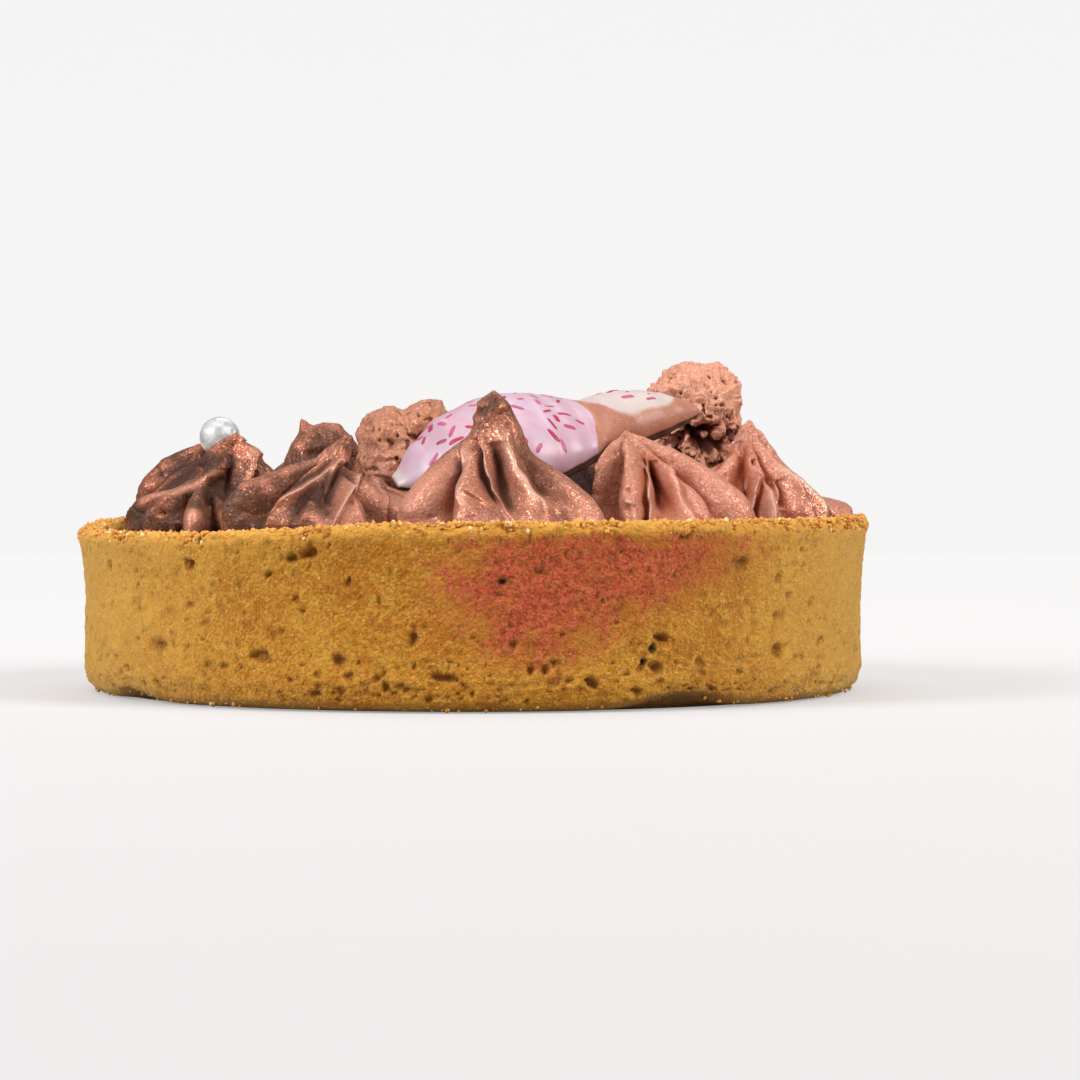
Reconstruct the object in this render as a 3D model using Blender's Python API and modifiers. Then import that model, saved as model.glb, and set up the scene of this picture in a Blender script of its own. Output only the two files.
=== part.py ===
"""Praline tart: a straight-sided shortcrust case topped with praline filling and covered with piped
chocolate cream peaks, which carry a moulded chocolate fish, two pieces of brittle and a silver pearl.
The tart is uncut, so the case is solid under the filling that shows inside its rim.

Metres, +Z up, the origin under the middle of the case's foot. An azimuth is in degrees seen from
above: 0 is the front (-Y), 90 the right (+X) and 180 the back.
"""

import math
import random
from collections import namedtuple

import bmesh
import bpy
from mathutils import Matrix, Vector, noise

MM = 0.001
GAP = 0.3 * MM  # clearance between solids that touch

# Shortcrust case
RIM_RADIUS = 47.0 * MM
WALL_RADIUS = 46.3 * MM
FOOT_RADIUS = 45.2 * MM
CASE_HEIGHT = 20.3 * MM
WALL_THICKNESS = 3.0 * MM
RECESS_FLOOR = 13.5 * MM  # the filling lies above it, inside the rim
CASE_STEPS = 72
RIM_TILT_RIGHT = 0.2 * MM
RIM_TILT_BACK = 0.1 * MM
RIM_DIP = 1.2 * MM
RIM_DIP_AZIMUTH = -58.0
RIM_DIP_WIDTH = 37.0
WALL_WOBBLE = 0.3 * MM
FOOT_BAND = 3.0 * MM  # height over which the lifted foot fades out

# Praline filling
FILLING_TOP = 17.0 * MM
FILLING_WOBBLE = 0.35 * MM
FILLING_RINGS = 3
FILLING_STEPS = 48

# Piped cream
CREAM_FLOOR = FILLING_TOP + FILLING_WOBBLE + GAP
CREAM_WALL = RIM_RADIUS - WALL_THICKNESS - 0.8 * MM
CREAM_GIRTH = 20.0 * MM  # height at which a peak is widest
RIM_CLEAR = CASE_HEIGHT + RIM_TILT_RIGHT + 0.35 * MM  # above this height cream may lie over the rim
CREST_SHARPNESS = 9.0
BODY_SHARE = 0.62  # of the mean reach: how wide a peak is between its folds at its girth
BODY_RISE = 0.66
TIP_RADIUS = 0.35 * MM
FRONT_SIDES = 36
FRONT_STEPS = [0.0, 0.14, 0.28, 0.42, 0.56, 0.7, 0.84, 0.95]
PLAIN_SIDES = 28
PLAIN_STEPS = [0.0, 0.26, 0.5, 0.74, 0.93]

# Moulded chocolate fish
FISH_LENGTH = 37.5 * MM
FISH_SPINE = 34.3 * MM  # from the mouth to the back end of the tail
FISH_SLANT_START = 27.0 * MM  # from here on the tail runs out towards its front corner
FISH_HEAD = Vector((-8.8, -15.0, 24.2)) * MM
FISH_TAIL = Vector((26.7, -4.6, 33.5)) * MM
FISH_TILT = 35.0  # degrees that its face leans towards the front
FISH_SECTIONS = 22
FISH_ARC_STEPS = 12

# Silver pearl
PEARL_RADIUS = 2.35 * MM
PEARL_PLACE = Vector((-29.6, -10.4, 30.1)) * MM

Fold = namedtuple("Fold", "azimuth reach rise shoulder hollow width swirl")
Peak = namedtuple("Peak", "name azimuth distance tip_height lean core blunt folds sides steps over_rim")
Lift = namedtuple("Lift", "azimuth width height")
Lump = namedtuple("Lump", "centre radii")
Pit = namedtuple("Pit", "azimuth elevation width depth")
Brittle = namedtuple("Brittle", "name centre lumps pits roughness grain seed")

# Where the foot of the case stands clear of the table
FOOT_LIFTS = [Lift(31, 6.5, 1.5), Lift(-57, 5.0, 0.9), Lift(118, 7.0, 0.8), Lift(-150, 6.0, 1.0)]

# The peaks along the front, with the folds that the star nozzle left. A fold has its azimuth, its reach
# in mm, the share of the peak's height where it melts into it, how it bulges near its foot (shoulder)
# and hollows near its top (hollow), its half-width in degrees and how far it turns up to the tip.
FRONT_PEAKS = [
    ("peak_front", 6.2, 32.5, 34.9, (-0.8, -0.4), 5.2, 0.54, [
        Fold(-84, 12.2, 0.80, 1.6, 1.0, 44, 0),
        Fold(-22, 10.6, 0.92, 1.2, 1.3, 30, -40),
        Fold(30, 10.8, 0.90, 1.3, 1.6, 27, -10),
        Fold(75, 12.1, 0.85, 1.8, 2.0, 32, 0),
        Fold(118, 10.4, 0.85, 1.6, 1.6, 30, 0),
        Fold(160, 10.4, 0.85, 1.6, 1.6, 32, 0),
        Fold(-142, 10.6, 0.85, 1.6, 1.6, 36, 0),
    ]),
    ("peak_front_right", 41.0, 32.6, 30.6, (-3.9, 0.6), 3.8, 0.55, [
        Fold(-72, 8.8, 0.97, 2.0, 0.8, 28, 0),
        Fold(-25, 9.4, 0.97, 2.0, 0.9, 25, 0),
        Fold(31, 9.6, 0.97, 1.2, 1.0, 26, 0),
        Fold(73, 11.4, 1.00, 2.0, 1.0, 28, 0),
        Fold(114, 9.6, 0.92, 1.6, 1.1, 30, 0),
        Fold(160, 9.6, 0.90, 1.8, 1.1, 30, 0),
        Fold(-120, 9.4, 0.92, 1.8, 1.0, 30, 0),
    ]),
    ("peak_right", 72.4, 33.0, 32.1, (1.0, -0.4), 3.4, 0.6, [
        Fold(-78, 10.0, 0.62, 1.2, 0.9, 30, 0),
        Fold(-34, 9.6, 0.74, 1.3, 0.9, 22, 0),
        Fold(24, 9.8, 0.78, 1.4, 0.8, 20, -10),
        Fold(56, 11.2, 0.86, 1.5, 1.0, 24, -10),
        Fold(90, 12.0, 1.00, 1.1, 1.05, 28, 0),
        Fold(138, 9.6, 0.85, 1.4, 1.1, 32, 0),
        Fold(-176, 9.4, 0.80, 1.3, 1.1, 30, 0),
        Fold(-126, 9.4, 0.74, 1.3, 1.1, 28, 0),
    ]),
    ("peak_front_left", -32.2, 32.5, 30.1, (3.9, 0.8), 3.8, 0.6, [
        Fold(-76, 10.6, 0.73, 3.5, 0.8, 29, 0),
        Fold(-32, 9.8, 0.80, 1.6, 0.9, 24, 10),
        Fold(38, 9.8, 0.92, 1.5, 1.2, 27, -10),
        Fold(84, 10.2, 0.80, 1.6, 1.2, 30, 0),
        Fold(130, 9.6, 0.85, 1.6, 1.2, 30, 0),
        Fold(178, 9.8, 0.85, 1.6, 1.2, 30, 0),
        Fold(-124, 10.0, 0.80, 2.4, 1.0, 32, 0),
    ]),
    ("peak_left", -70.0, 33.4, 30.6, (4.0, -1.4), 4.2, 0.55, [
        Fold(-86, 9.1, 0.44, 3.0, 0.7, 30, 0),
        Fold(-42, 9.0, 0.50, 2.0, 0.8, 22, 0),
        Fold(-4, 9.6, 0.42, 2.5, 0.6, 17, 0),
        Fold(22, 9.2, 0.36, 2.5, 0.6, 16, 0),
        Fold(72, 9.4, 1.00, 2.5, 1.0, 30, 0),
        Fold(124, 9.6, 0.90, 2.0, 1.0, 30, 0),
        Fold(170, 9.6, 0.80, 2.0, 1.0, 30, 0),
        Fold(-132, 10.0, 0.70, 2.4, 0.9, 32, 0),
    ]),
]

# Folds of the other peaks that differ from the rule
FAR_LEFT_FOLDS = [Fold(-92, 10.7, 1.00, 3.0, 0.8, 30, 0), Fold(-52, 10.2, 0.80, 2.4, 0.8, 24, 0)]
BACK_LEFT_FOLDS = [Fold(-80, 10.2, 0.38, 1.6, 0.9, 30, 0), Fold(-30, 10.0, 0.60, 1.6, 0.9, 28, 0)]
FAR_RIGHT_FOLDS = [Fold(67, 15.2, 0.60, 4.0, 0.5, 36, 0)]

# The other peaks of the ring and the low ones inside it, whose folds follow one rule:
# name, azimuth, distance, tip height, lean, reach, core, bluntness, folds that differ
PLAIN_PEAKS = [
    ("peak_far_left", -104, 32.4, 30.4, (0.4, 0.0), 11.6, 5.0, 0.5, FAR_LEFT_FOLDS),
    ("peak_back_left", -143, 32.6, 32.5, (-0.2, -0.6), 11.6, 7.0, 0.36, BACK_LEFT_FOLDS),
    ("peak_back", -179, 32.5, 29.8, (0.6, -0.5), 11.6, 4.4, 0.6, []),
    ("peak_back_right", 145, 32.5, 28.8, (-0.6, 0.4), 11.6, 4.4, 0.6, []),
    ("peak_far_right", 106, 33.2, 26.4, (-1.0, 0.5), 11.4, 4.6, 0.6, FAR_RIGHT_FOLDS),
    ("peak_inner_front", 14, 12.0, 26.4, (0.5, 0.5), 11.4, 4.6, 0.6, []),
    ("peak_inner_right", 104, 12.0, 30.2, (1.4, 0.4), 11.4, 5.2, 0.5, []),
    ("peak_inner_back", -166, 12.0, 26.6, (0.0, 0.5), 11.4, 4.6, 0.6, []),
    ("peak_inner_left", -76, 12.4, 25.6, (0.0, 0.4), 11.4, 4.4, 0.6, []),
]
PLAIN_FOLDS = 8
PLAIN_SEED = 21

BRITTLES = [
    Brittle(
        "brittle_right", Vector((26.3, 6.0, 32.0)),
        [
            Lump(Vector((0.9, 0.0, 3.0)), Vector((5.2, 5.0, 4.2))),
            Lump(Vector((-2.6, 0.6, 2.6)), Vector((4.4, 4.4, 2.6))),
            Lump(Vector((1.6, 0.0, 0.0)), Vector((4.4, 4.8, 4.8))),
            Lump(Vector((-1.6, 0.4, -3.8)), Vector((5.6, 5.4, 5.2))),
        ],
        [
            Pit(-14, -12, 15, 1.5), Pit(24, -18, 17, 1.7), Pit(8, -50, 20, 1.7), Pit(38, -48, 16, 1.5),
            Pit(-34, -34, 15, 1.3), Pit(-6, -34, 11, 1.0), Pit(74, 6, 13, 1.1), Pit(62, -22, 12, 0.9),
            Pit(150, 0, 18, 1.5), Pit(-150, 10, 16, 1.3), Pit(-110, -20, 18, 1.4), Pit(110, -30, 17, 1.3),
        ],
        0.9, 0.32, 3.7,
    ),
    Brittle(
        "brittle_left", Vector((-9.2, 18.0, 29.2)),
        [
            Lump(Vector((-2.2, 0.0, 0.9)), Vector((4.0, 4.6, 4.1))),
            Lump(Vector((3.2, 0.4, 1.9)), Vector((4.0, 4.6, 4.2))),
            Lump(Vector((0.2, 0.0, -2.6)), Vector((5.4, 5.6, 5.2))),
        ],
        [
            Pit(30, 18, 12, 0.8), Pit(60, -10, 18, 1.0), Pit(-50, 0, 14, 0.8), Pit(150, 15, 18, 1.1),
            Pit(-130, -5, 18, 1.1), Pit(5, -30, 14, 0.7),
        ],
        0.5, 0.22, 9.2,
    ),
]
BRITTLE_DIVISIONS = 4

# Fish outline in mm: distance from the mouth, half-width of its flat base towards the front and towards
# the back, height of its upright edge, height of the dome over that edge
FISH_OUTLINE = [
    (0.0, 1.2, 1.2, 0.8, 0.4),
    (3.6, 4.6, 4.6, 1.3, 2.8),
    (7.1, 7.0, 6.8, 1.6, 4.5),
    (12.2, 8.2, 7.8, 1.7, 5.5),
    (15.1, 8.2, 8.0, 1.7, 5.2),
    (17.9, 7.8, 7.9, 1.7, 4.3),
    (20.5, 6.9, 7.3, 1.7, 3.2),
    (22.9, 5.9, 6.1, 1.7, 2.1),
    (24.6, 4.7, 5.0, 1.7, 1.6),
    (26.2, 4.9, 4.6, 1.7, 2.5),
    (28.0, 5.2, 3.9, 1.7, 3.1),
    (30.5, 4.4, 3.2, 1.6, 2.7),
    (32.5, 3.3, 2.7, 1.3, 2.1),
    (34.3, 2.2, 1.9, 0.9, 1.2),
]

COLOURS = {
    "shortcrust": ((0.55, 0.27, 0.06), 0.75, 0.0),
    "praline_cream": ((0.19, 0.08, 0.045), 0.5, 0.0),
    "copper_cream": ((0.42, 0.19, 0.13), 0.42, 0.45),
    "copper_brittle": ((0.50, 0.24, 0.16), 0.5, 0.4),
    "pink_chocolate": ((0.72, 0.42, 0.52), 0.35, 0.0),
    "silver_pearl": ((0.70, 0.70, 0.71), 0.3, 0.8),
}


def clear_scene():
    for thing in list(bpy.data.objects):
        bpy.data.objects.remove(thing, do_unlink=True)


def collection_named(name):
    collection = bpy.data.collections.new(name)
    bpy.context.scene.collection.children.link(collection)
    return collection


def material_named(name):
    colour, roughness, metallic = COLOURS[name]
    material = bpy.data.materials.new(name)
    material.use_nodes = True
    shader = material.node_tree.nodes["Principled BSDF"]
    shader.inputs["Base Color"].default_value = (*colour, 1.0)
    shader.inputs["Roughness"].default_value = roughness
    shader.inputs["Metallic"].default_value = metallic
    material.diffuse_color = (*colour, 1.0)
    return material


def object_from(name, work, material, collection):
    """A named object from the bmesh, with its faces turned out and shaded smooth."""
    bmesh.ops.recalc_face_normals(work, faces=work.faces)
    mesh = bpy.data.meshes.new(name)
    work.to_mesh(mesh)
    work.free()
    mesh.shade_smooth()
    mesh.set_sharp_from_angle(angle=math.radians(55))
    made = bpy.data.objects.new(name, mesh)
    if material:
        made.data.materials.append(material)
    collection.objects.link(made)
    return made


def heading(azimuth):
    """The level direction of an azimuth."""
    angle = math.radians(azimuth)
    return Vector((math.sin(angle), -math.cos(angle), 0.0))


def azimuth_of(point):
    return math.degrees(math.atan2(point.x, -point.y))


def turn_between(first, second):
    """The signed angle from the second azimuth to the first, from -180 to 180."""
    return (first - second + 180.0) % 360.0 - 180.0


def bell(distance, width):
    return math.exp(-((distance / width) ** 2))


def between_points(points, place):
    """Values at a place along an outline, eased from each of its points to the next."""
    for low, high in zip(points, points[1:]):
        if place <= high[0]:
            share = max(0.0, (place - low[0]) / (high[0] - low[0]))
            eased = share * share * (3.0 - 2.0 * share)
            blend = 0.5 * (share + eased)
            return [a + (b - a) * blend for a, b in zip(low[1:], high[1:])]
    return list(points[-1][1:])


def loft(work, sections, tip=None):
    """Skins closed sections of equal count and closes the ends, the last one to the tip if there is one."""
    rings = [[work.verts.new(point) for point in section] for section in sections]
    count = len(rings[0])
    for lower, upper in zip(rings, rings[1:]):
        for index in range(count):
            after = (index + 1) % count
            work.faces.new((lower[index], lower[after], upper[after], upper[index]))
    work.faces.new(rings[0])
    if tip is None:
        work.faces.new(rings[-1])
        return
    crown = work.verts.new(tip)
    for index in range(count):
        work.faces.new((rings[-1][index], rings[-1][(index + 1) % count], crown))


# Case and filling


def rim_rise(azimuth):
    """How far the rim stands above its mean height."""
    way = heading(azimuth)
    dip = RIM_DIP * math.exp(-((turn_between(azimuth, RIM_DIP_AZIMUTH) / RIM_DIP_WIDTH) ** 4))
    return RIM_TILT_RIGHT * way.x + RIM_TILT_BACK * way.y - dip


def foot_rise(azimuth):
    return sum(lift.height * MM * bell(turn_between(azimuth, lift.azimuth), lift.width) for lift in FOOT_LIFTS)


def case_profile():
    """Half section of the case, from the middle of its recess over the rim to the middle of its foot."""
    inner_rim = RIM_RADIUS - WALL_THICKNESS
    inner_wall = WALL_RADIUS - WALL_THICKNESS
    return [
        (0.0, RECESS_FLOOR),
        (inner_wall - 0.6 * MM, RECESS_FLOOR),
        (inner_wall, RECESS_FLOOR + 0.8 * MM),
        (inner_rim, CASE_HEIGHT - 0.5 * MM),
        (inner_rim + 0.6 * MM, CASE_HEIGHT),
        (RIM_RADIUS - 0.5 * MM, CASE_HEIGHT),
        (RIM_RADIUS, CASE_HEIGHT - 0.7 * MM),
        (WALL_RADIUS + 0.3 * MM, 0.78 * CASE_HEIGHT),
        (WALL_RADIUS, 0.55 * CASE_HEIGHT),
        (WALL_RADIUS, 0.3 * CASE_HEIGHT),
        (WALL_RADIUS + 0.1 * MM, 0.14 * CASE_HEIGHT),
        (FOOT_RADIUS + 0.6 * MM, 1.0 * MM),
        (FOOT_RADIUS - 0.6 * MM, 0.15 * MM),
        (FOOT_RADIUS - 2.0 * MM, 0.0),
        (0.5 * FOOT_RADIUS, 0.0),
        (0.0, 0.0),
    ]


def turned_mesh(profile, steps):
    """A closed mesh from a profile turned about Z by a Screw modifier."""
    mesh = bpy.data.meshes.new("profile")
    edges = [(index, index + 1) for index in range(len(profile) - 1)]
    mesh.from_pydata([(radius, 0.0, height) for radius, height in profile], edges, [])
    turned = bpy.data.objects.new("profile", mesh)
    bpy.context.scene.collection.objects.link(turned)
    screw = turned.modifiers.new("turn", "SCREW")
    screw.steps = screw.render_steps = steps
    screw.use_merge_vertices = True
    screw.merge_threshold = 0.00001
    screw.use_normal_calculate = True
    graph = bpy.context.evaluated_depsgraph_get()
    result = bpy.data.meshes.new_from_object(turned.evaluated_get(graph))
    bpy.data.objects.remove(turned, do_unlink=True)
    return result


def shape_case(work):
    """The unevenness of a hand-lined case: its rim, its wall and the places where its foot lifts."""
    for vertex in work.verts:
        radius = vertex.co.to_2d().length
        if radius < 0.6 * FOOT_RADIUS:
            continue
        azimuth = azimuth_of(vertex.co)
        height = vertex.co.z
        if height > RECESS_FLOOR + 1.0 * MM:
            vertex.co.z += rim_rise(azimuth) * (height - RECESS_FLOOR) / (CASE_HEIGHT - RECESS_FLOOR)
            vertex.co.z += 0.12 * MM * math.sin(math.radians(11 * azimuth)) * (height / CASE_HEIGHT) ** 6
        if height < FOOT_BAND and radius > FOOT_RADIUS - 1.5 * MM:
            vertex.co.z += foot_rise(azimuth) * (1.0 - height / FOOT_BAND)
        wobble = noise.noise(heading(azimuth) * 1.6 + Vector((0.0, 0.0, height / (9.0 * MM))))
        if radius > WALL_RADIUS - 0.5 * WALL_THICKNESS:
            vertex.co.xy *= 1.0 + WALL_WOBBLE * wobble / radius


def hide_cutter(cutter):
    cutter.hide_render = True
    cutter.display_type = "WIRE"
    return cutter


def cut_with(thing, cutter):
    """Takes the cutter's shape out of the thing."""
    modifier = thing.modifiers.new("cut_" + cutter.name, "BOOLEAN")
    modifier.operation = "DIFFERENCE"
    modifier.object = cutter


def make_case(collection):
    work = bmesh.new()
    work.from_mesh(turned_mesh(case_profile(), CASE_STEPS))
    bmesh.ops.remove_doubles(work, verts=work.verts, dist=0.00001)
    shape_case(work)
    return object_from("shortcrust_case", work, material_named("shortcrust"), collection)


def make_filling(collection):
    """Praline filling level with the inside of the rim, its top smoothed by hand."""
    radius = WALL_RADIUS - WALL_THICKNESS - GAP
    foot = RECESS_FLOOR + GAP
    profile = [(radius * index / FILLING_RINGS, FILLING_TOP) for index in range(FILLING_RINGS + 1)]
    profile += [(radius, foot + 0.9 * MM), (radius - 0.9 * MM, foot), (0.0, foot)]
    work = bmesh.new()
    work.from_mesh(turned_mesh(profile, FILLING_STEPS))
    bmesh.ops.remove_doubles(work, verts=work.verts, dist=0.00001)
    for vertex in work.verts:
        if vertex.co.z > FILLING_TOP - 0.1 * MM:
            vertex.co.z += FILLING_WOBBLE * noise.noise(vertex.co / (9.0 * MM))
    return object_from("praline_filling", work, material_named("praline_cream"), collection)


# Piped cream


def plain_folds(draw, reach, given):
    """Folds that follow one rule, evenly turned and unevenly long, where none of the given ones lies."""
    start = draw.uniform(0.0, 360.0 / PLAIN_FOLDS)
    folds = list(given)
    for index in range(PLAIN_FOLDS):
        azimuth = start + 360.0 * index / PLAIN_FOLDS + draw.uniform(-6.0, 6.0)
        fold = Fold(
            azimuth,
            reach * draw.uniform(0.92, 1.06),
            draw.uniform(0.78, 0.95),
            draw.uniform(1.4, 2.4),
            draw.uniform(0.9, 1.4),
            draw.uniform(26.0, 31.0),
            draw.uniform(-16.0, 6.0),
        )
        if all(abs(turn_between(azimuth, other.azimuth)) > 26.0 for other in given):
            folds.append(fold)
    return folds


def all_peaks():
    draw = random.Random(PLAIN_SEED)
    peaks = [Peak(*row, FRONT_SIDES, FRONT_STEPS, False) for row in FRONT_PEAKS]
    for name, azimuth, distance, tip_height, lean, reach, core, blunt, given in PLAIN_PEAKS:
        folds = plain_folds(draw, reach, given)
        over_rim = given is FAR_RIGHT_FOLDS
        sides = FRONT_SIDES if given else PLAIN_SIDES
        steps = FRONT_STEPS if given else PLAIN_STEPS
        peaks.append(Peak(name, azimuth, distance, tip_height, lean, core, blunt, folds, sides, steps, over_rim))
    return peaks


def peak_centre(peak):
    return heading(peak.azimuth) * peak.distance * MM


def mean_reach(peak):
    return sum(fold.reach for fold in peak.folds) / len(peak.folds)


def contacts_of(peak, peaks):
    """The planes where a peak presses on its neighbours, each a direction and a distance from its centre."""
    contacts = []
    for other in peaks:
        offset = peak_centre(other) - peak_centre(peak)
        if other is peak or offset.length > 30.0 * MM:
            continue
        share = mean_reach(peak) / (mean_reach(peak) + mean_reach(other))
        contacts.append((offset.normalized(), offset.length * share - 0.5 * GAP))
    return contacts


def fold_radius(fold, azimuth, share):
    """How far a fold stands out from the peak's axis, at a share of the peak's height."""
    swing = abs(turn_between(azimuth, fold.azimuth + fold.swirl * share))
    if swing >= fold.width or share >= fold.rise:
        return 0.0
    level = (1.0 - (share / fold.rise) ** fold.shoulder) ** fold.hollow
    return fold.reach * level * math.cos(math.radians(90.0 * swing / fold.width)) ** 0.5


def peak_radius(peak, azimuth, height):
    """Distance of the surface from the axis at a height, before it presses on anything."""
    share = max(0.0, (height - CREAM_GIRTH) / (peak.tip_height * MM - CREAM_GIRTH))
    core = peak.core * (1.0 - share) ** peak.blunt
    body = BODY_SHARE * mean_reach(peak) * max(0.0, 1.0 - share / BODY_RISE)
    total = core**CREST_SHARPNESS + body**CREST_SHARPNESS
    for fold in peak.folds:
        total += fold_radius(fold, azimuth, share) ** CREST_SHARPNESS
    tuck = 0.07 * max(0.0, (CREAM_GIRTH - height) / (CREAM_GIRTH - CREAM_FLOOR)) ** 2
    return max(TIP_RADIUS, total ** (1.0 / CREST_SHARPNESS) * (1.0 - tuck) * MM)


def free_distance(start, way, contacts, centre, wall):
    """How far the cream can spread from start along way before a neighbour or the case stops it."""
    free = 1.0
    for normal, offset in contacts:
        pace = normal.dot(way)
        if pace > 1e-6:
            free = min(free, (offset - normal.dot(start - centre)) / pace)
    if wall:
        along = start.dot(way)
        free = min(free, math.sqrt(along * along + wall**2 - start.length_squared) - along)
    return max(TIP_RADIUS, free)


def peak_heights(peak):
    rise = peak.tip_height * MM - CREAM_GIRTH
    heights = [CREAM_FLOOR] + [CREAM_GIRTH + rise * step for step in peak.steps]
    if peak.over_rim:
        heights += [RIM_CLEAR, RIM_CLEAR + 0.25 * MM]
    return sorted(heights)


def axis_point(peak, height):
    """A peak's axis, which leans more and more towards the tip."""
    share = max(0.0, (height - CREAM_GIRTH) / (peak.tip_height * MM - CREAM_GIRTH))
    return peak_centre(peak) + Vector((*peak.lean, 0.0)) * MM * share**2


def make_peak(peak, peaks, material, collection):
    centre = peak_centre(peak)
    contacts = contacts_of(peak, peaks)
    sections = []
    for height in peak_heights(peak):
        start = axis_point(peak, height)
        wall = 0.0 if peak.over_rim and height > RIM_CLEAR else CREAM_WALL
        section = []
        for side in range(peak.sides):
            azimuth = 360.0 * side / peak.sides
            way = heading(azimuth)
            radius = min(peak_radius(peak, azimuth, height), free_distance(start, way, contacts, centre, wall))
            section.append(start + way * radius + Vector((0.0, 0.0, height)))
        sections.append(section)
    tip = peak.tip_height * MM
    work = bmesh.new()
    loft(work, sections, axis_point(peak, tip) + Vector((0.0, 0.0, tip)))
    return object_from(peak.name, work, material, collection)


# Toppings


def fish_matrix():
    """Places the fish: local X from mouth to tail, local Y across towards the back, local Z out of its base."""
    along = (FISH_TAIL - FISH_HEAD).normalized()
    level_front = Vector((0.0, -1.0, 0.0))
    front = (level_front - along * level_front.dot(along)).normalized()
    up = along.cross(front)
    up = -up if up.z < 0 else up
    tilt = math.radians(FISH_TILT)
    face = up * math.cos(tilt) + front * math.sin(tilt)
    across = face.cross(along)
    matrix = Matrix((along, across, face)).transposed().to_4x4()
    return Matrix.Translation(FISH_HEAD) @ matrix


def fish_section(place, grow):
    """Cross section of the fish: a flat base, an upright edge and a dome, set aslant towards the tail's end."""
    front, back, edge, dome = [size * MM + grow for size in between_points(FISH_OUTLINE, place / MM)]
    middle = 0.5 * (back - front)
    half = 0.5 * (back + front)
    slant = max(0.0, (place - FISH_SLANT_START) / (FISH_SPINE - FISH_SLANT_START))
    rows = [(-1.0 + 0.3 * MM / half, -grow), (-1.0, 0.4 * MM)]
    for step in range(FISH_ARC_STEPS + 1):
        angle = math.pi * step / FISH_ARC_STEPS
        rows.append((-math.cos(angle), edge + (dome - grow) * math.sin(angle)))
    rows += [(1.0, 0.4 * MM), (1.0 - 0.3 * MM / half, -grow)]
    points = []
    for side, height in rows:
        lead = (FISH_LENGTH - FISH_SPINE) * slant * (0.5 - 0.5 * side)
        points.append(Vector((place + lead, middle + half * side, height)))
    return points


def make_fish(name, material, collection, grow=0.0):
    sections = []
    for index in range(FISH_SECTIONS + 1):
        section = fish_section(FISH_SPINE * index / FISH_SECTIONS, grow)
        if index == 0:
            section = [point - Vector((grow, 0.0, 0.0)) for point in section]
        if index == FISH_SECTIONS:
            section = [point + Vector((grow, 0.0, 0.0)) for point in section]
        sections.append(section)
    work = bmesh.new()
    loft(work, sections)
    bmesh.ops.transform(work, matrix=fish_matrix(), verts=work.verts)
    return object_from(name, work, material, collection)


def lump_exit(lump, way):
    """Distance from the piece's centre to where the ray along way leaves an ellipsoid lump."""
    stretched = Vector([w / r for w, r in zip(way, lump.radii)])
    offset = Vector([-c / r for c, r in zip(lump.centre, lump.radii)])
    a = stretched.length_squared
    b = stretched.dot(offset)
    c = offset.length_squared - 1.0
    return (-b + math.sqrt(max(0.0, b * b - a * c))) / a


def brittle_radius(brittle, way):
    """Radius of a brittle piece along a direction, in mm: its lumps, crags and air holes."""
    radius = sum(lump_exit(lump, way) ** 8 for lump in brittle.lumps) ** (1.0 / 8.0)
    shifted = way * radius * brittle.grain + Vector((brittle.seed, 0.0, 0.0))
    radius += brittle.roughness * noise.fractal(shifted, 0.9, 2.1, 3)
    for pit in brittle.pits:
        level = math.cos(math.radians(pit.elevation))
        centre = heading(pit.azimuth) * level + Vector((0.0, 0.0, math.sin(math.radians(pit.elevation))))
        radius -= pit.depth * bell(math.degrees(way.angle(centre)), pit.width)
    return radius


def make_brittle(brittle, name, material, collection, grow=0.0):
    work = bmesh.new()
    bmesh.ops.create_icosphere(work, subdivisions=BRITTLE_DIVISIONS, radius=1.0)
    for vertex in work.verts:
        way = vertex.co.normalized()
        vertex.co = brittle.centre * MM + way * (brittle_radius(brittle, way) * MM + grow)
    return object_from(name, work, material, collection)


def make_pearl(name, material, collection, grow=0.0):
    work = bmesh.new()
    bmesh.ops.create_icosphere(work, subdivisions=3, radius=PEARL_RADIUS + grow, matrix=Matrix.Translation(PEARL_PLACE))
    return object_from(name, work, material, collection)


def corners_of(thing):
    points = [vertex.co for vertex in thing.data.vertices]
    low = Vector([min(point[axis] for point in points) for axis in range(3)])
    high = Vector([max(point[axis] for point in points) for axis in range(3)])
    return low, high


def boxes_meet(first, second):
    low_a, high_a = corners_of(first)
    low_b, high_b = corners_of(second)
    return all(low_a[axis] < high_b[axis] and low_b[axis] < high_a[axis] for axis in range(3))


def main():
    clear_scene()
    tart = collection_named("praline_tart")
    cutters = collection_named("cutters")
    make_case(tart)
    make_filling(tart)

    cream = material_named("copper_cream")
    peaks = all_peaks()
    piped = [make_peak(peak, peaks, cream, tart) for peak in peaks]

    make_fish("chocolate_fish", material_named("pink_chocolate"), tart)
    make_pearl("silver_pearl", material_named("silver_pearl"), tart)
    nougat = material_named("copper_brittle")
    brittles = [make_brittle(brittle, brittle.name, nougat, tart) for brittle in BRITTLES]

    # The toppings press into the cream, and the fish rests against the brittle
    fish_cutter = hide_cutter(make_fish("fish_cutter", None, cutters, GAP))
    pressed = [fish_cutter, hide_cutter(make_pearl("pearl_cutter", None, cutters, GAP))]
    pressed += [hide_cutter(make_brittle(b, b.name + "_cutter", None, cutters, GAP)) for b in BRITTLES]
    for cream_peak in piped:
        for cutter in pressed:
            if boxes_meet(cream_peak, cutter):
                cut_with(cream_peak, cutter)
    for brittle in brittles:
        if boxes_meet(brittle, fish_cutter):
            cut_with(brittle, fish_cutter)


main()
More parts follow.
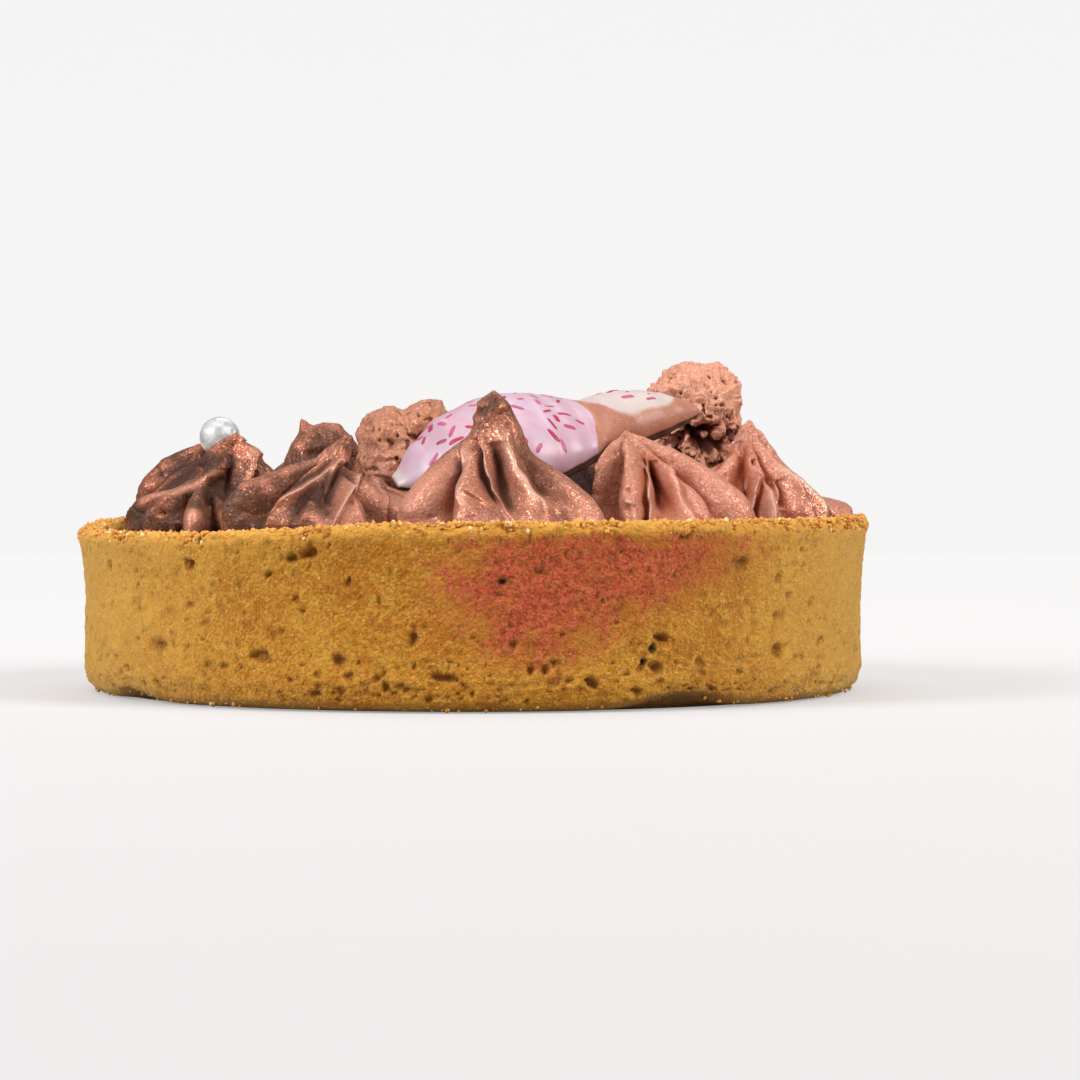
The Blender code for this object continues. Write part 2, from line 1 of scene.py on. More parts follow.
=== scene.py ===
"""The looks of a praline tart: its baked case with pores and crumbs, the piped peaks under their copper
lustre, the coated chocolate fish, the brittle and the silver pearl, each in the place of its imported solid.

Metres, +Z up, the origin under the middle of the case's foot. Shapes are worked out in millimetres. An
azimuth is in degrees seen from above: 0 is the front (-Y), 90 the right (+X) and 180 the back.
"""

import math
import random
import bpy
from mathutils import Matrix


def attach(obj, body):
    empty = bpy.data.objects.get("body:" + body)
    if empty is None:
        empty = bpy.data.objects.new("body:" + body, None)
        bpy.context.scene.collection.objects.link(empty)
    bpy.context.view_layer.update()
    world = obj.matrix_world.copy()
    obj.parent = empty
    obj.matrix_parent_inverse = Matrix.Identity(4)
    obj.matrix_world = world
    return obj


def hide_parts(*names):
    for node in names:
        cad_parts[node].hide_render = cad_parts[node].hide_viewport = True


bl_info = {
    "name": "Praline Tart",
    "version": (1, 0, 0),
    "blender": (4, 5, 0),
    "location": "3D View > Sidebar > Tart",
    "description": "Bakes, fills, pipes and decorates a praline tart around its packed solids",
    "category": "Add Mesh",
}

from collections import namedtuple

import bmesh
import bpy
import numpy as np
from mathutils import Matrix, Vector, noise

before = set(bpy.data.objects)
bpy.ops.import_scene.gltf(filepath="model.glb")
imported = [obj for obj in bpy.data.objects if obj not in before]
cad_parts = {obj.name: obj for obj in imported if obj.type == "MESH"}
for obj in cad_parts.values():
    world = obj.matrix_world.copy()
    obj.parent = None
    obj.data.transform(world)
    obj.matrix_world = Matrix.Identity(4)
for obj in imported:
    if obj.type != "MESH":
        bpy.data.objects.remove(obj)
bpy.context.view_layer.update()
BODY = "root"

MM = 0.001
LATTICE = 64  # cells of noise before it repeats

# Case, in mm
WALL_THICKNESS = 3.0
RECESS_FLOOR = 13.5
CASE_COLUMNS = 880
RIM_TILT_RIGHT = 0.2
RIM_TILT_BACK = 0.1
RIM_DIP = 1.2
RIM_DIP_AZIMUTH = -58.0
RIM_DIP_WIDTH = 37.0
FOOT_BAND = 3.0
SMALL_PORES = 420
CRUMBS = 6400

# Filling and cream, in mm
FILLING_TOP = 17.0
CREAM_FLOOR = 17.65
CREAM_FOOT = 17.3
CREAM_WALL = 43.7
CREAM_GIRTH = 20.0
RIM_CLEAR = 20.7
BODY_SHARE = 0.62
BODY_RISE = 0.66
FRONT_BODY = 0.18  # how much fuller a peak is between its folds where strokes shape it
TIP_RADIUS = 0.35
TIP_ROUNDING = 0.6
ROUND_TIPS = {"peak_back_left": 2.6, "peak_left": 1.5, "peak_far_left": 1.6, "peak_front": 1.5}
FRONT_SIDES, FRONT_LEVELS = 300, 118
BEHIND_SIDES, BEHIND_LEVELS = 210, 76
PLAIN_SIDES, PLAIN_LEVELS = 128, 50
FRONT_FINENESS = 0.45  # how much closer the points lie at a peak's front than at its sides
PRESSING = 16.0  # how sharply a peak flattens where it presses on its neighbour
CREST_SHARE = 0.16  # of a fold's reach, at most, that stands out as a crest
CREST_WIDTH = 8.0
PLAIN_FOLDS = 8
# How much lustre fell on the cream, from left to right, in mm
LUSTRE_FALL = [(-34.0, 0.0), (-20.0, 0.20), (-12.0, 0.38), (-8.0, 0.62), (-1.0, 0.55), (10.0, 0.66),
               (20.0, 0.9), (40.0, 0.85)]
SHARP_STROKES = 0.6  # narrower ridges end in an edge, broader ones are round
BEHIND_RIM = 21.0  # strokes that end below this height go on behind the rim
PLAIN_SEED = 21

# Fish, in mm and degrees
FISH_LENGTH = 37.5
FISH_SPINE = 34.3
FISH_SLANT_START = 27.0
FISH_HEAD = Vector((-8.8, -15.0, 24.2))
FISH_TAIL = Vector((26.7, -4.6, 33.5))
FISH_STATIONS = 190
FISH_ARC = 64
PINK_END = 24.3
WHITE_START = 24.2
DASHES = 50

CHIPS = 26
PEARL_PLACE = Vector((-29.6, -10.4, 30.1))

Fold = namedtuple("Fold", "azimuth reach rise shoulder hollow width swirl")
Stroke = namedtuple("Stroke", "size width path")
Peak = namedtuple("Peak", "name azimuth distance tip_height lean core blunt folds over_rim in_front")
Thicker = namedtuple("Thicker", "right up width change")
Wisp = namedtuple("Wisp", "peak start pull width")
Lift = namedtuple("Lift", "azimuth width height")
Pore = namedtuple("Pore", "azimuth height width tall depth")
Dusting = namedtuple("Dusting", "azimuth height width tall strength")
Lump = namedtuple("Lump", "centre radii")
Pit = namedtuple("Pit", "azimuth elevation width depth")
# Brittle: crags, caves and chips are depths, caves lie below holed_below, thick is how much lustre it took
Brittle = namedtuple(
    "Brittle",
    "name centre lumps pits holes roughness grain seed crags caves holed_below chips thick divisions",
)

FOOT_LIFTS = [Lift(31, 6.5, 1.5), Lift(-57, 5.0, 0.9), Lift(118, 7.0, 0.8), Lift(-150, 6.0, 1.0)]

# The larger air pores of the wall
PORES = [
    Pore(-62, 15.6, 1.3, 1.5, 0.8), Pore(-48, 6.8, 2.6, 1.3, 0.9), Pore(-41, 16.2, 1.5, 1.6, 1.0),
    Pore(-29, 6.0, 2.4, 1.3, 0.9), Pore(-21, 17.4, 2.3, 1.1, 0.9), Pore(-17, 5.7, 1.7, 1.2, 0.8),
    Pore(-3, 3.8, 3.0, 1.0, 0.9), Pore(17, 3.2, 1.3, 1.3, 1.0), Pore(27, 7.9, 1.8, 1.2, 0.9),
    Pore(40, 15.5, 1.9, 1.7, 0.7), Pore(48, 6.0, 2.1, 1.8, 0.9), Pore(59, 6.6, 1.9, 1.2, 1.0),
    Pore(96, 12.0, 1.8, 1.3, 0.9), Pore(124, 6.5, 2.4, 1.2, 0.9), Pore(151, 15.0, 1.6, 1.4, 0.8),
    Pore(-171, 8.0, 2.2, 1.2, 0.9), Pore(-140, 14.2, 1.7, 1.2, 0.8), Pore(-108, 5.4, 2.5, 1.3, 0.9),
]
# Burnt flecks of the wall
FLECKS = [Pore(25.6, 6.9, 0.8, 1.3, 0.5), Pore(24.3, 5.4, 1.1, 0.9, 0.6), Pore(4.9, 14.1, 1.0, 0.7, 0.4),
          Pore(-131, 9.0, 0.8, 0.7, 0.4), Pore(140, 4.6, 0.9, 0.6, 0.5)]
# Where copper lustre fell on the wall
DUSTINGS = [
    Dusting(9, 13.5, 9, 4.8, 1.0), Dusting(20, 15.2, 12, 4.2, 0.95), Dusting(36, 17.0, 8, 3.0, 0.45),
    Dusting(10, 7.5, 11, 4.0, 0.30), Dusting(-2, 14.6, 8, 4.4, 0.12), Dusting(170, 15.0, 15, 3.5, 0.7),
]

# The peaks along the front as the star nozzle left them: name, azimuth, distance, tip height, lean,
# core, bluntness and folds
FRONT_PEAKS = [
    ("peak_front", 6.2, 32.5, 34.9, (-0.8, -0.4), 5.2, 0.54, [
        Fold(-84, 12.2, 0.80, 1.6, 1.0, 44, 0),
        Fold(-22, 10.6, 0.92, 1.2, 1.3, 30, -40),
        Fold(30, 10.8, 0.90, 1.3, 1.6, 27, -10),
        Fold(75, 12.1, 0.85, 1.8, 2.0, 32, 0),
        Fold(118, 10.4, 0.85, 1.6, 1.6, 30, 0),
        Fold(160, 10.4, 0.85, 1.6, 1.6, 32, 0),
        Fold(-142, 10.6, 0.85, 1.6, 1.6, 36, 0),
    ]),
    ("peak_front_right", 41.0, 32.6, 30.6, (-3.9, 0.6), 3.8, 0.55, [
        Fold(-72, 8.8, 0.97, 2.0, 0.8, 28, 0),
        Fold(-25, 9.4, 0.97, 2.0, 0.9, 25, 0),
        Fold(31, 9.6, 0.97, 1.2, 1.0, 26, 0),
        Fold(73, 11.4, 1.00, 2.0, 1.0, 28, 0),
        Fold(114, 9.6, 0.92, 1.6, 1.1, 30, 0),
        Fold(160, 9.6, 0.90, 1.8, 1.1, 30, 0),
        Fold(-120, 9.4, 0.92, 1.8, 1.0, 30, 0),
    ]),
    ("peak_right", 72.4, 33.0, 32.1, (1.0, -0.4), 3.4, 0.6, [
        Fold(-78, 10.0, 0.62, 1.2, 0.6, 30, 0),
        Fold(-34, 9.6, 0.74, 1.3, 0.6, 22, 0),
        Fold(24, 9.8, 0.78, 1.4, 0.8, 20, -10),
        Fold(56, 11.2, 0.86, 1.5, 1.0, 24, -10),
        Fold(90, 12.0, 1.00, 1.1, 1.05, 28, 0),
        Fold(138, 9.6, 0.85, 1.4, 1.1, 32, 0),
        Fold(-176, 9.4, 0.80, 1.3, 1.1, 30, 0),
        Fold(-126, 9.4, 0.74, 1.3, 1.1, 28, 0),
    ]),
    ("peak_front_left", -32.2, 32.5, 30.1, (3.9, 0.8), 3.8, 0.6, [
        Fold(-76, 10.6, 0.73, 3.5, 0.8, 29, 0),
        Fold(-32, 9.8, 0.80, 1.6, 0.9, 24, 10),
        Fold(38, 9.8, 0.92, 1.5, 1.2, 27, -10),
        Fold(84, 10.2, 0.80, 1.6, 1.2, 30, 0),
        Fold(130, 9.6, 0.85, 1.6, 1.2, 30, 0),
        Fold(178, 9.8, 0.85, 1.6, 1.2, 30, 0),
        Fold(-124, 10.0, 0.80, 2.4, 1.0, 32, 0),
    ]),
    ("peak_left", -70.0, 33.4, 30.6, (4.0, -1.4), 4.2, 0.55, [
        Fold(-86, 9.1, 0.44, 3.0, 0.7, 30, 0),
        Fold(-42, 9.0, 0.50, 2.0, 0.8, 22, 0),
        Fold(-4, 9.6, 0.42, 2.5, 0.6, 17, 0),
        Fold(22, 9.2, 0.36, 2.5, 0.6, 16, 0),
        Fold(72, 9.4, 1.00, 2.5, 1.0, 30, 0),
        Fold(124, 9.6, 0.90, 2.0, 1.0, 30, 0),
        Fold(170, 9.6, 0.80, 2.0, 1.0, 30, 0),
        Fold(-132, 10.0, 0.70, 2.4, 0.9, 32, 0),
    ]),
]
FRONT_NAMES = [row[0] for row in FRONT_PEAKS]
FAR_LEFT_FOLDS = [Fold(-92, 10.7, 1.00, 3.0, 0.8, 30, 0), Fold(-52, 10.2, 0.80, 2.4, 0.8, 24, 0)]
BACK_LEFT_FOLDS = [Fold(-80, 10.2, 0.38, 1.6, 0.9, 30, 0), Fold(-30, 10.0, 0.60, 1.6, 0.9, 28, 0)]
FAR_RIGHT_FOLDS = [Fold(67, 15.2, 0.60, 4.0, 0.5, 36, 0)]

# The other peaks: name, azimuth, distance, tip height, lean, reach, core, bluntness, folds that differ
PLAIN_PEAKS = [
    ("peak_far_left", -104, 32.4, 30.4, (0.4, 0.0), 11.6, 5.0, 0.5, FAR_LEFT_FOLDS),
    ("peak_back_left", -143, 32.6, 32.5, (-0.2, -0.6), 11.6, 7.0, 0.36, BACK_LEFT_FOLDS),
    ("peak_back", -179, 32.5, 29.8, (0.6, -0.5), 11.6, 4.4, 0.6, []),
    ("peak_back_right", 145, 32.5, 28.8, (-0.6, 0.4), 11.6, 4.4, 0.6, []),
    ("peak_far_right", 106, 33.2, 26.4, (-1.0, 0.5), 11.4, 4.6, 0.6, FAR_RIGHT_FOLDS),
    ("peak_inner_front", 14, 12.0, 26.4, (0.5, 0.5), 11.4, 4.6, 0.6, []),
    ("peak_inner_right", 104, 12.0, 30.2, (1.4, 0.4), 11.4, 5.2, 0.5, []),
    ("peak_inner_back", -166, 12.0, 26.6, (0.0, 0.5), 11.4, 4.6, 0.6, []),
    ("peak_inner_left", -76, 12.4, 25.6, (0.0, 0.4), 11.4, 4.4, 0.6, []),
]

# What the nozzle and the knife left on a peak, as seen from the front: how far it stands out, or lies in
# where that is negative, its half-width, and its path in mm to the right of the middle and up
STROKES = {
    "peak_front": [
        Stroke(1.5, 0.30, [(1.3, 30.2), (1.9, 27.8), (2.3, 25.8), (2.8, 24.0), (4.1, 21.8), (4.9, 20.7)]),
        Stroke(-1.5, 0.75, [(1.0, 29.6), (1.1, 27.2), (1.3, 25.4), (2.4, 23.6), (3.6, 21.9)]),
        Stroke(-1.2, 1.10, [(2.9, 29.2), (3.4, 27.2), (3.6, 25.2), (4.3, 23.0), (5.8, 21.2)]),
        Stroke(0.9, 0.75, [(3.6, 31.6), (4.1, 28.8), (4.8, 26.8), (6.2, 25.0), (7.0, 23.4), (8.5, 22.2),
                           (10.2, 21.3)]),
        Stroke(-0.9, 0.70, [(5.4, 27.2), (6.6, 25.6), (7.9, 24.2), (9.0, 22.9), (10.6, 21.9)]),
        Stroke(0.5, 0.35, [(8.2, 23.2), (9.7, 22.7), (10.8, 21.5), (11.2, 20.5)]),
        Stroke(-0.4, 0.35, [(4.4, 31.0)]),
        Stroke(0.9, 0.80, [(0.5, 29.2), (-0.5, 26.6), (-1.0, 24.6), (-0.4, 22.9), (0.4, 21.0)]),
        Stroke(-1.4, 0.90, [(-0.6, 28.2), (-1.4, 25.8), (-2.2, 23.4), (-2.7, 20.6)]),
        Stroke(0.45, 0.35, [(-0.7, 24.8), (0.8, 23.5), (2.0, 22.7)]),
        Stroke(-0.4, 0.45, [(-0.2, 23.6), (1.0, 22.6), (2.2, 21.8)]),
        Stroke(0.5, 0.55, [(1.6, 33.2)]), Stroke(0.45, 0.45, [(3.7, 33.1)]), Stroke(-0.4, 0.3, [(2.9, 33.6)]),
        Stroke(0.35, 0.6, [(1.2, 31.8)]), Stroke(0.5, 0.9, [(-6.4, 21.6)]), Stroke(-0.5, 0.4, [(-4.3, 20.8)]),
    ],
    "peak_front_right": [
        Stroke(1.6, 0.26, [(19.6, 27.9), (20.1, 25.7), (20.0, 23.1), (20.3, 20.6)]),
        Stroke(-1.7, 0.62, [(19.0, 27.3), (19.3, 24.9), (19.2, 22.9), (19.5, 20.9)]),
        Stroke(-1.9, 0.75, [(20.8, 27.3), (21.1, 24.9), (21.0, 22.9), (20.9, 21.0)]),
        Stroke(-1.0, 0.38, [(17.2, 28.4), (16.5, 25.4), (16.0, 22.6), (15.9, 20.5)]),
        Stroke(0.7, 0.55, [(17.7, 22.6)]), Stroke(-0.5, 0.4, [(17.6, 23.7)]),
        Stroke(0.8, 0.55, [(21.4, 28.0), (22.7, 25.7), (23.4, 23.1), (24.9, 20.5)]),
        Stroke(-0.8, 0.55, [(22.6, 27.2), (23.6, 25.2), (24.7, 22.6), (25.9, 20.6)]),
        Stroke(0.4, 0.6, [(22.4, 28.0)]), Stroke(0.35, 0.5, [(24.3, 26.9)]),
        Stroke(-0.35, 0.4, [(16.2, 27.9)]),
        Stroke(0.5, 0.9, [(25.2, 25.6), (27.4, 23.4), (28.7, 21.6)]), Stroke(-0.4, 0.4, [(27.6, 22.0)]),
        Stroke(-0.35, 0.5, [(26.6, 25.2)]), Stroke(0.3, 0.5, [(14.4, 26.4)]),
        Stroke(-0.35, 0.45, [(14.0, 23.4)]),
    ],
    "peak_right": [
        Stroke(1.2, 0.28, [(33.1, 25.6), (32.7, 23.3), (32.2, 21.8), (31.6, 20.6)]),
        Stroke(-1.1, 0.55, [(32.3, 25.3), (32.0, 23.4), (31.5, 21.8)]),
        Stroke(-1.6, 0.70, [(34.0, 25.4), (33.7, 23.6), (33.2, 21.8), (32.8, 20.6)]),
        Stroke(-1.2, 0.50, [(32.9, 27.0)]), Stroke(0.6, 0.35, [(33.1, 25.9)]),
        Stroke(0.8, 0.85, [(34.9, 25.0), (34.6, 22.8), (34.3, 20.5)]),
        Stroke(-1.2, 0.60, [(35.4, 25.0), (36.5, 23.5), (36.0, 21.6)]),
        Stroke(0.9, 0.70, [(34.0, 28.0), (35.6, 26.4), (37.8, 24.9), (40.3, 22.8), (41.9, 20.6)]),
        Stroke(-0.7, 0.50, [(35.2, 28.3), (37.2, 26.6), (39.6, 24.9), (41.6, 22.6)]),
        Stroke(-0.5, 0.28, [(31.2, 29.6), (31.3, 27.8)]), Stroke(0.5, 0.5, [(33.8, 29.4)]),
        Stroke(0.5, 1.1, [(37.7, 21.5)]), Stroke(0.3, 0.5, [(30.4, 27.0)]), Stroke(-0.4, 0.5, [(29.2, 25.4)]),
        Stroke(0.4, 0.9, [(28.0, 25.4)]), Stroke(-0.35, 0.35, [(38.6, 22.9)]),
    ],
    "peak_front_left": [
        Stroke(1.1, 0.50, [(-13.8, 28.0), (-16.1, 25.7), (-18.0, 24.1), (-20.1, 23.1), (-21.3, 22.0)]),
        Stroke(-1.0, 0.65, [(-14.6, 28.0), (-16.9, 25.9), (-19.3, 24.5), (-21.2, 23.4), (-22.1, 21.5)]),
        Stroke(-1.7, 0.85, [(-13.7, 26.9), (-14.5, 24.3), (-15.8, 21.7)]),
        Stroke(1.2, 0.32, [(-12.9, 28.4), (-12.7, 25.5), (-13.3, 23.4), (-14.7, 20.7)]),
        Stroke(-0.9, 0.6, [(-12.1, 27.0), (-12.3, 24.6), (-13.0, 22.2)]),
        Stroke(0.5, 1.2, [(-11.4, 23.6)]),
        Stroke(0.9, 0.32, [(-11.9, 28.0), (-10.7, 25.0), (-9.8, 23.4), (-9.4, 20.4)]),
        Stroke(-1.2, 0.50, [(-9.4, 24.6), (-8.7, 22.6), (-8.7, 20.6)]),
        Stroke(-0.5, 0.32, [(-26.2, 22.0), (-24.2, 21.1), (-22.0, 21.3)]),
        Stroke(0.4, 0.6, [(-25.6, 23.9), (-23.6, 25.3)]), Stroke(-0.5, 0.7, [(-20.2, 25.6), (-23.4, 24.0)]),
        Stroke(0.5, 0.8, [(-18.6, 21.5), (-16.8, 20.9)]), Stroke(-0.3, 0.4, [(-17.4, 22.3)]),
        Stroke(0.4, 0.5, [(-20.0, 27.0)]), Stroke(-0.4, 0.4, [(-9.6, 26.0)]),
    ],
    "peak_left": [
        Stroke(0.8, 0.80, [(-28.2, 27.8), (-29.7, 25.8), (-32.0, 24.3), (-34.6, 23.6), (-37.8, 23.1),
                           (-39.2, 21.6)]),
        Stroke(-0.8, 0.90, [(-31.2, 26.4), (-34.0, 25.2), (-36.6, 24.6)]),
        Stroke(-1.4, 0.60, [(-28.0, 26.4), (-27.6, 24.6), (-27.5, 23.2)]),
        Stroke(0.7, 0.60, [(-25.4, 28.4), (-25.8, 25.8), (-26.4, 24.2)]),
        Stroke(-0.7, 0.5, [(-25.0, 26.2), (-25.2, 24.4)]),
        Stroke(1.1, 1.5, [(-31.3, 22.2), (-31.6, 20.4)]), Stroke(-0.9, 0.45, [(-33.0, 23.2), (-33.2, 20.6)]),
        Stroke(-1.0, 0.50, [(-29.8, 22.9), (-29.4, 20.5)]), Stroke(0.8, 1.0, [(-28.4, 22.0), (-28.2, 20.5)]),
        Stroke(-0.6, 0.4, [(-35.5, 21.1)]), Stroke(0.9, 1.1, [(-25.6, 28.6)]),
        Stroke(0.5, 0.5, [(-26.8, 30.0)]),
        Stroke(-0.5, 0.4, [(-26.6, 28.0)]), Stroke(0.5, 0.6, [(-27.2, 26.6)]),
        Stroke(-0.4, 0.4, [(-37.4, 21.8)]),
    ],
    "peak_back_left": [
        Stroke(0.6, 0.9, [(-18.4, 31.6)]), Stroke(-0.7, 0.8, [(-20.6, 30.6)]),
        Stroke(0.6, 0.9, [(-22.6, 29.4)]),
        Stroke(-0.6, 0.6, [(-22.0, 28.2), (-19.0, 28.6)]), Stroke(0.4, 0.7, [(-18.6, 27.6)]),
    ],
    "peak_far_left": [
        Stroke(-0.8, 0.7, [(-35.4, 27.6)]), Stroke(0.7, 0.9, [(-38.0, 27.2)]),
        Stroke(-0.9, 0.5, [(-39.0, 25.7)]),
        Stroke(0.7, 0.7, [(-39.8, 24.4)]), Stroke(-0.7, 0.6, [(-33.6, 28.2)]),
        Stroke(0.5, 0.7, [(-32.0, 28.8)]),
    ],
}

# Where more or less lustre fell on the front, as seen from there, in mm; some of these patches are partly
# painted highlight and painted shade
LUSTRE_AND_LIGHT_PATCHES = [
    Thicker(-5.4, 23.2, 3.2, 0.75), Thicker(2.7, 32.4, 2.6, -0.50), Thicker(9.5, 23.5, 3.0, -0.12),
    Thicker(32.6, 30.2, 3.0, 0.30), Thicker(40.0, 23.0, 3.2, -0.35), Thicker(26.0, 24.0, 3.0, 0.15),
    Thicker(-17.0, 26.4, 2.6, 0.30), Thicker(-9.4, 26.0, 2.0, 0.22), Thicker(-27.6, 28.6, 2.4, -0.06),
    Thicker(-21.5, 22.6, 3.0, 0.25), Thicker(-12.6, 22.4, 3.0, 0.25),
]
# Cream drawn out as the knife or the nozzle left it, in mm
WISPS = [
    Wisp("peak_back_left", (-22.0, 25.3, 31.4), (-0.6, 0.0, 1.5), 0.7),
    Wisp("peak_back_left", (-18.2, 25.3, 31.9), (0.5, 0.0, 0.4), 1.0),
    Wisp("peak_far_left", (-39.6, 7.9, 24.9), (-0.9, 0.0, 0.3), 0.7),
]

BRITTLES = [
    Brittle(
        "brittle_right", Vector((26.3, 6.0, 32.0)),
        [
            Lump(Vector((0.9, 0.0, 3.0)), Vector((5.2, 5.0, 4.2))),
            Lump(Vector((-2.6, 0.6, 2.6)), Vector((4.4, 4.4, 2.6))),
            Lump(Vector((1.6, 0.0, 0.0)), Vector((4.4, 4.8, 4.8))),
            Lump(Vector((-1.6, 0.4, -3.8)), Vector((5.6, 5.4, 5.2))),
        ],
        [
            Pit(-14, -12, 15, 1.5), Pit(24, -18, 17, 1.7), Pit(8, -50, 20, 1.7), Pit(38, -48, 16, 1.5),
            Pit(-34, -34, 15, 1.3), Pit(-6, -34, 11, 1.0), Pit(74, 6, 13, 1.1), Pit(62, -22, 12, 0.9),
            Pit(150, 0, 18, 1.5), Pit(-150, 10, 16, 1.3), Pit(-110, -20, 18, 1.4), Pit(110, -30, 17, 1.3),
        ],
        [
            Pit(-10, -11, 8, 1.6), Pit(22, -9, 9, 1.6), Pit(36, -44, 12, 1.8), Pit(-24, -24, 9, 1.6),
            Pit(6, -30, 9, 1.5), Pit(56, 8, 6, 0.9), Pit(66, -14, 6, 0.8),
        ],
        0.9, 0.32, 3.7, 0.60, 1.5, -0.6, 0.8, 1.0, 7,
    ),
    Brittle(
        "brittle_left", Vector((-9.2, 18.0, 29.2)),
        [
            Lump(Vector((-2.2, 0.0, 0.9)), Vector((4.0, 4.6, 4.1))),
            Lump(Vector((3.2, 0.4, 1.9)), Vector((4.0, 4.6, 4.2))),
            Lump(Vector((0.2, 0.0, -2.6)), Vector((5.4, 5.6, 5.2))),
        ],
        [
            Pit(30, 18, 12, 0.8), Pit(60, -10, 18, 1.0), Pit(-50, 0, 14, 0.8), Pit(150, 15, 18, 1.1),
            Pit(-130, -5, 18, 1.1), Pit(5, -30, 14, 0.7),
        ],
        [Pit(32, 14, 8, 0.7), Pit(-20, 6, 6, 0.4), Pit(160, 10, 9, 1.2), Pit(-120, 0, 8, 1.0)],
        0.5, 0.22, 9.2, 0.50, 0.6, -9.0, 0.7, 0.0, 6,
    ),
]

# Fish outline in mm: distance from the mouth, half-width of its flat base towards the front and towards
# the back, height of its upright edge, height of the dome over that edge
FISH_OUTLINE = [
    (0.0, 1.2, 1.2, 0.8, 0.4),
    (3.6, 4.6, 4.6, 1.3, 2.8),
    (7.1, 7.0, 6.8, 1.6, 4.5),
    (12.2, 8.2, 7.8, 1.7, 5.5),
    (15.1, 8.2, 8.0, 1.7, 5.2),
    (17.9, 7.8, 7.9, 1.7, 4.3),
    (20.5, 6.9, 7.3, 1.7, 3.2),
    (22.9, 5.9, 6.1, 1.7, 2.1),
    (24.6, 4.7, 5.0, 1.7, 1.6),
    (26.2, 4.9, 4.6, 1.7, 2.5),
    (28.0, 5.2, 3.9, 1.7, 3.1),
    (30.5, 4.4, 3.2, 1.6, 2.7),
    (32.5, 3.3, 2.7, 1.3, 2.1),
    (34.3, 2.2, 1.9, 0.9, 1.2),
]

# Colours of the finishes, beside those of the settings
TOASTED_CRUMB = (0.20, 0.07, 0.01, 1.0)
PALE_GRIT = (0.80, 0.50, 0.13, 1.0)
SUGAR_GRAIN = (0.92, 0.72, 0.38, 1.0)
# Painted light on the left and right sides of the crust wall
PAINTED_SIDE_LIGHT = (0.80, 0.46, 0.085, 1.0)
WARM_UNDER_LUSTRE = (0.46, 0.125, 0.018, 1.0)
ROSY_LUSTRE = (0.68, 0.142, 0.070, 1.0)
RED_GRAIN = (0.25, 0.048, 0.013, 1.0)
PORE_SHADE = (0.26, 0.095, 0.014, 1.0)
BURNT_FLECK = (0.035, 0.015, 0.01, 1.0)
PALE_CRUMB = (0.90, 0.68, 0.34, 1.0)
WARM_CREAM = (0.24, 0.074, 0.034, 1.0)
LEFT_GLINT = (0.86, 0.40, 0.27, 1.0)
RIGHT_GLINT = (0.80, 0.41, 0.30, 1.0)
# Painted highlight along the crests of the piped cream
CREST_HIGHLIGHT = (0.88, 0.58, 0.45, 1.0)
# Painted shade in the cream's hollows, grooves, where peaks press and under the fish: near-black on the left,
# deep orange on the right
LEFT_HOLLOW_SHADE = (0.050, 0.017, 0.009, 1.0)
RIGHT_HOLLOW_SHADE = (0.36, 0.078, 0.022, 1.0)
BRITTLE_BROWN = (0.19, 0.060, 0.032, 1.0)
BRITTLE_OCHRE = (0.46, 0.175, 0.035, 1.0)
THIN_LUSTRE = (0.50, 0.210, 0.130, 1.0)
OCHRE_LUSTRE = (0.58, 0.25, 0.100, 1.0)
BRITTLE_GLINT = (0.94, 0.56, 0.42, 1.0)
# Painted shade in the brittle's holes and underside
BRITTLE_HOLE_SHADE = (0.120, 0.022, 0.011, 1.0)
BARE_FILLING = (0.11, 0.05, 0.03, 1.0)
FILLING_LUSTRE = (0.40, 0.19, 0.13, 1.0)
PALE_PINK = (0.60, 0.44, 0.535, 1.0)
CHOCOLATE = (0.24, 0.085, 0.045, 1.0)
CHOCOLATE_LUSTRE = (0.44, 0.175, 0.105, 1.0)
CHOCOLATE_GLINT = (0.52, 0.23, 0.15, 1.0)
CHOCOLATE_BASE = (0.085, 0.040, 0.027, 1.0)
PALE_DASH = (0.60, 0.14, 0.28, 1.0)
GREY_STREAK = (0.46, 0.47, 0.49, 1.0)
WORN_SUGAR = (0.80, 0.79, 0.76, 1.0)
PAPER = (0.400, 0.392, 0.389, 1.0)
PALER_PAPER = (0.408, 0.400, 0.397, 1.0)


# Shape helpers


def turn_between(first, second):
    """The signed angle from the second azimuth to the first, from -180 to 180."""
    return (first - second + 180.0) % 360.0 - 180.0


def heading(azimuth):
    """The level direction of each azimuth."""
    angle = np.radians(azimuth)
    return np.stack([np.sin(angle), -np.cos(angle)], axis=-1)


def smooth_step(low, high, value):
    share = np.clip((value - low) / (high - low), 0.0, 1.0)
    return share * share * (3.0 - 2.0 * share)


def value_noise(points, seed):
    """Smooth noise from -1 to 1, at points given in cells."""
    table = np.random.RandomState(seed).uniform(-1.0, 1.0, (LATTICE, LATTICE, LATTICE))
    cell = np.floor(points).astype(int)
    part = points - cell
    part = part * part * (3.0 - 2.0 * part)
    total = np.zeros(points.shape[:-1])
    for corner in range(8):
        step = np.array([corner & 1, corner >> 1 & 1, corner >> 2 & 1])
        share = np.prod(np.where(step == 1, part, 1.0 - part), axis=-1)
        x, y, z = np.moveaxis((cell + step) % LATTICE, -1, 0)
        total += share * table[x, y, z]
    return total


def rough(points, size, seed, octaves=2):
    """Noise of a grain size in mm and of finer grains on it."""
    total = np.zeros(points.shape[:-1])
    weight = 1.0
    for octave in range(octaves):
        total += weight * value_noise(points / size + 7.3 * octave, seed + octave)
        size /= 2.1
        weight *= 0.5
    return total


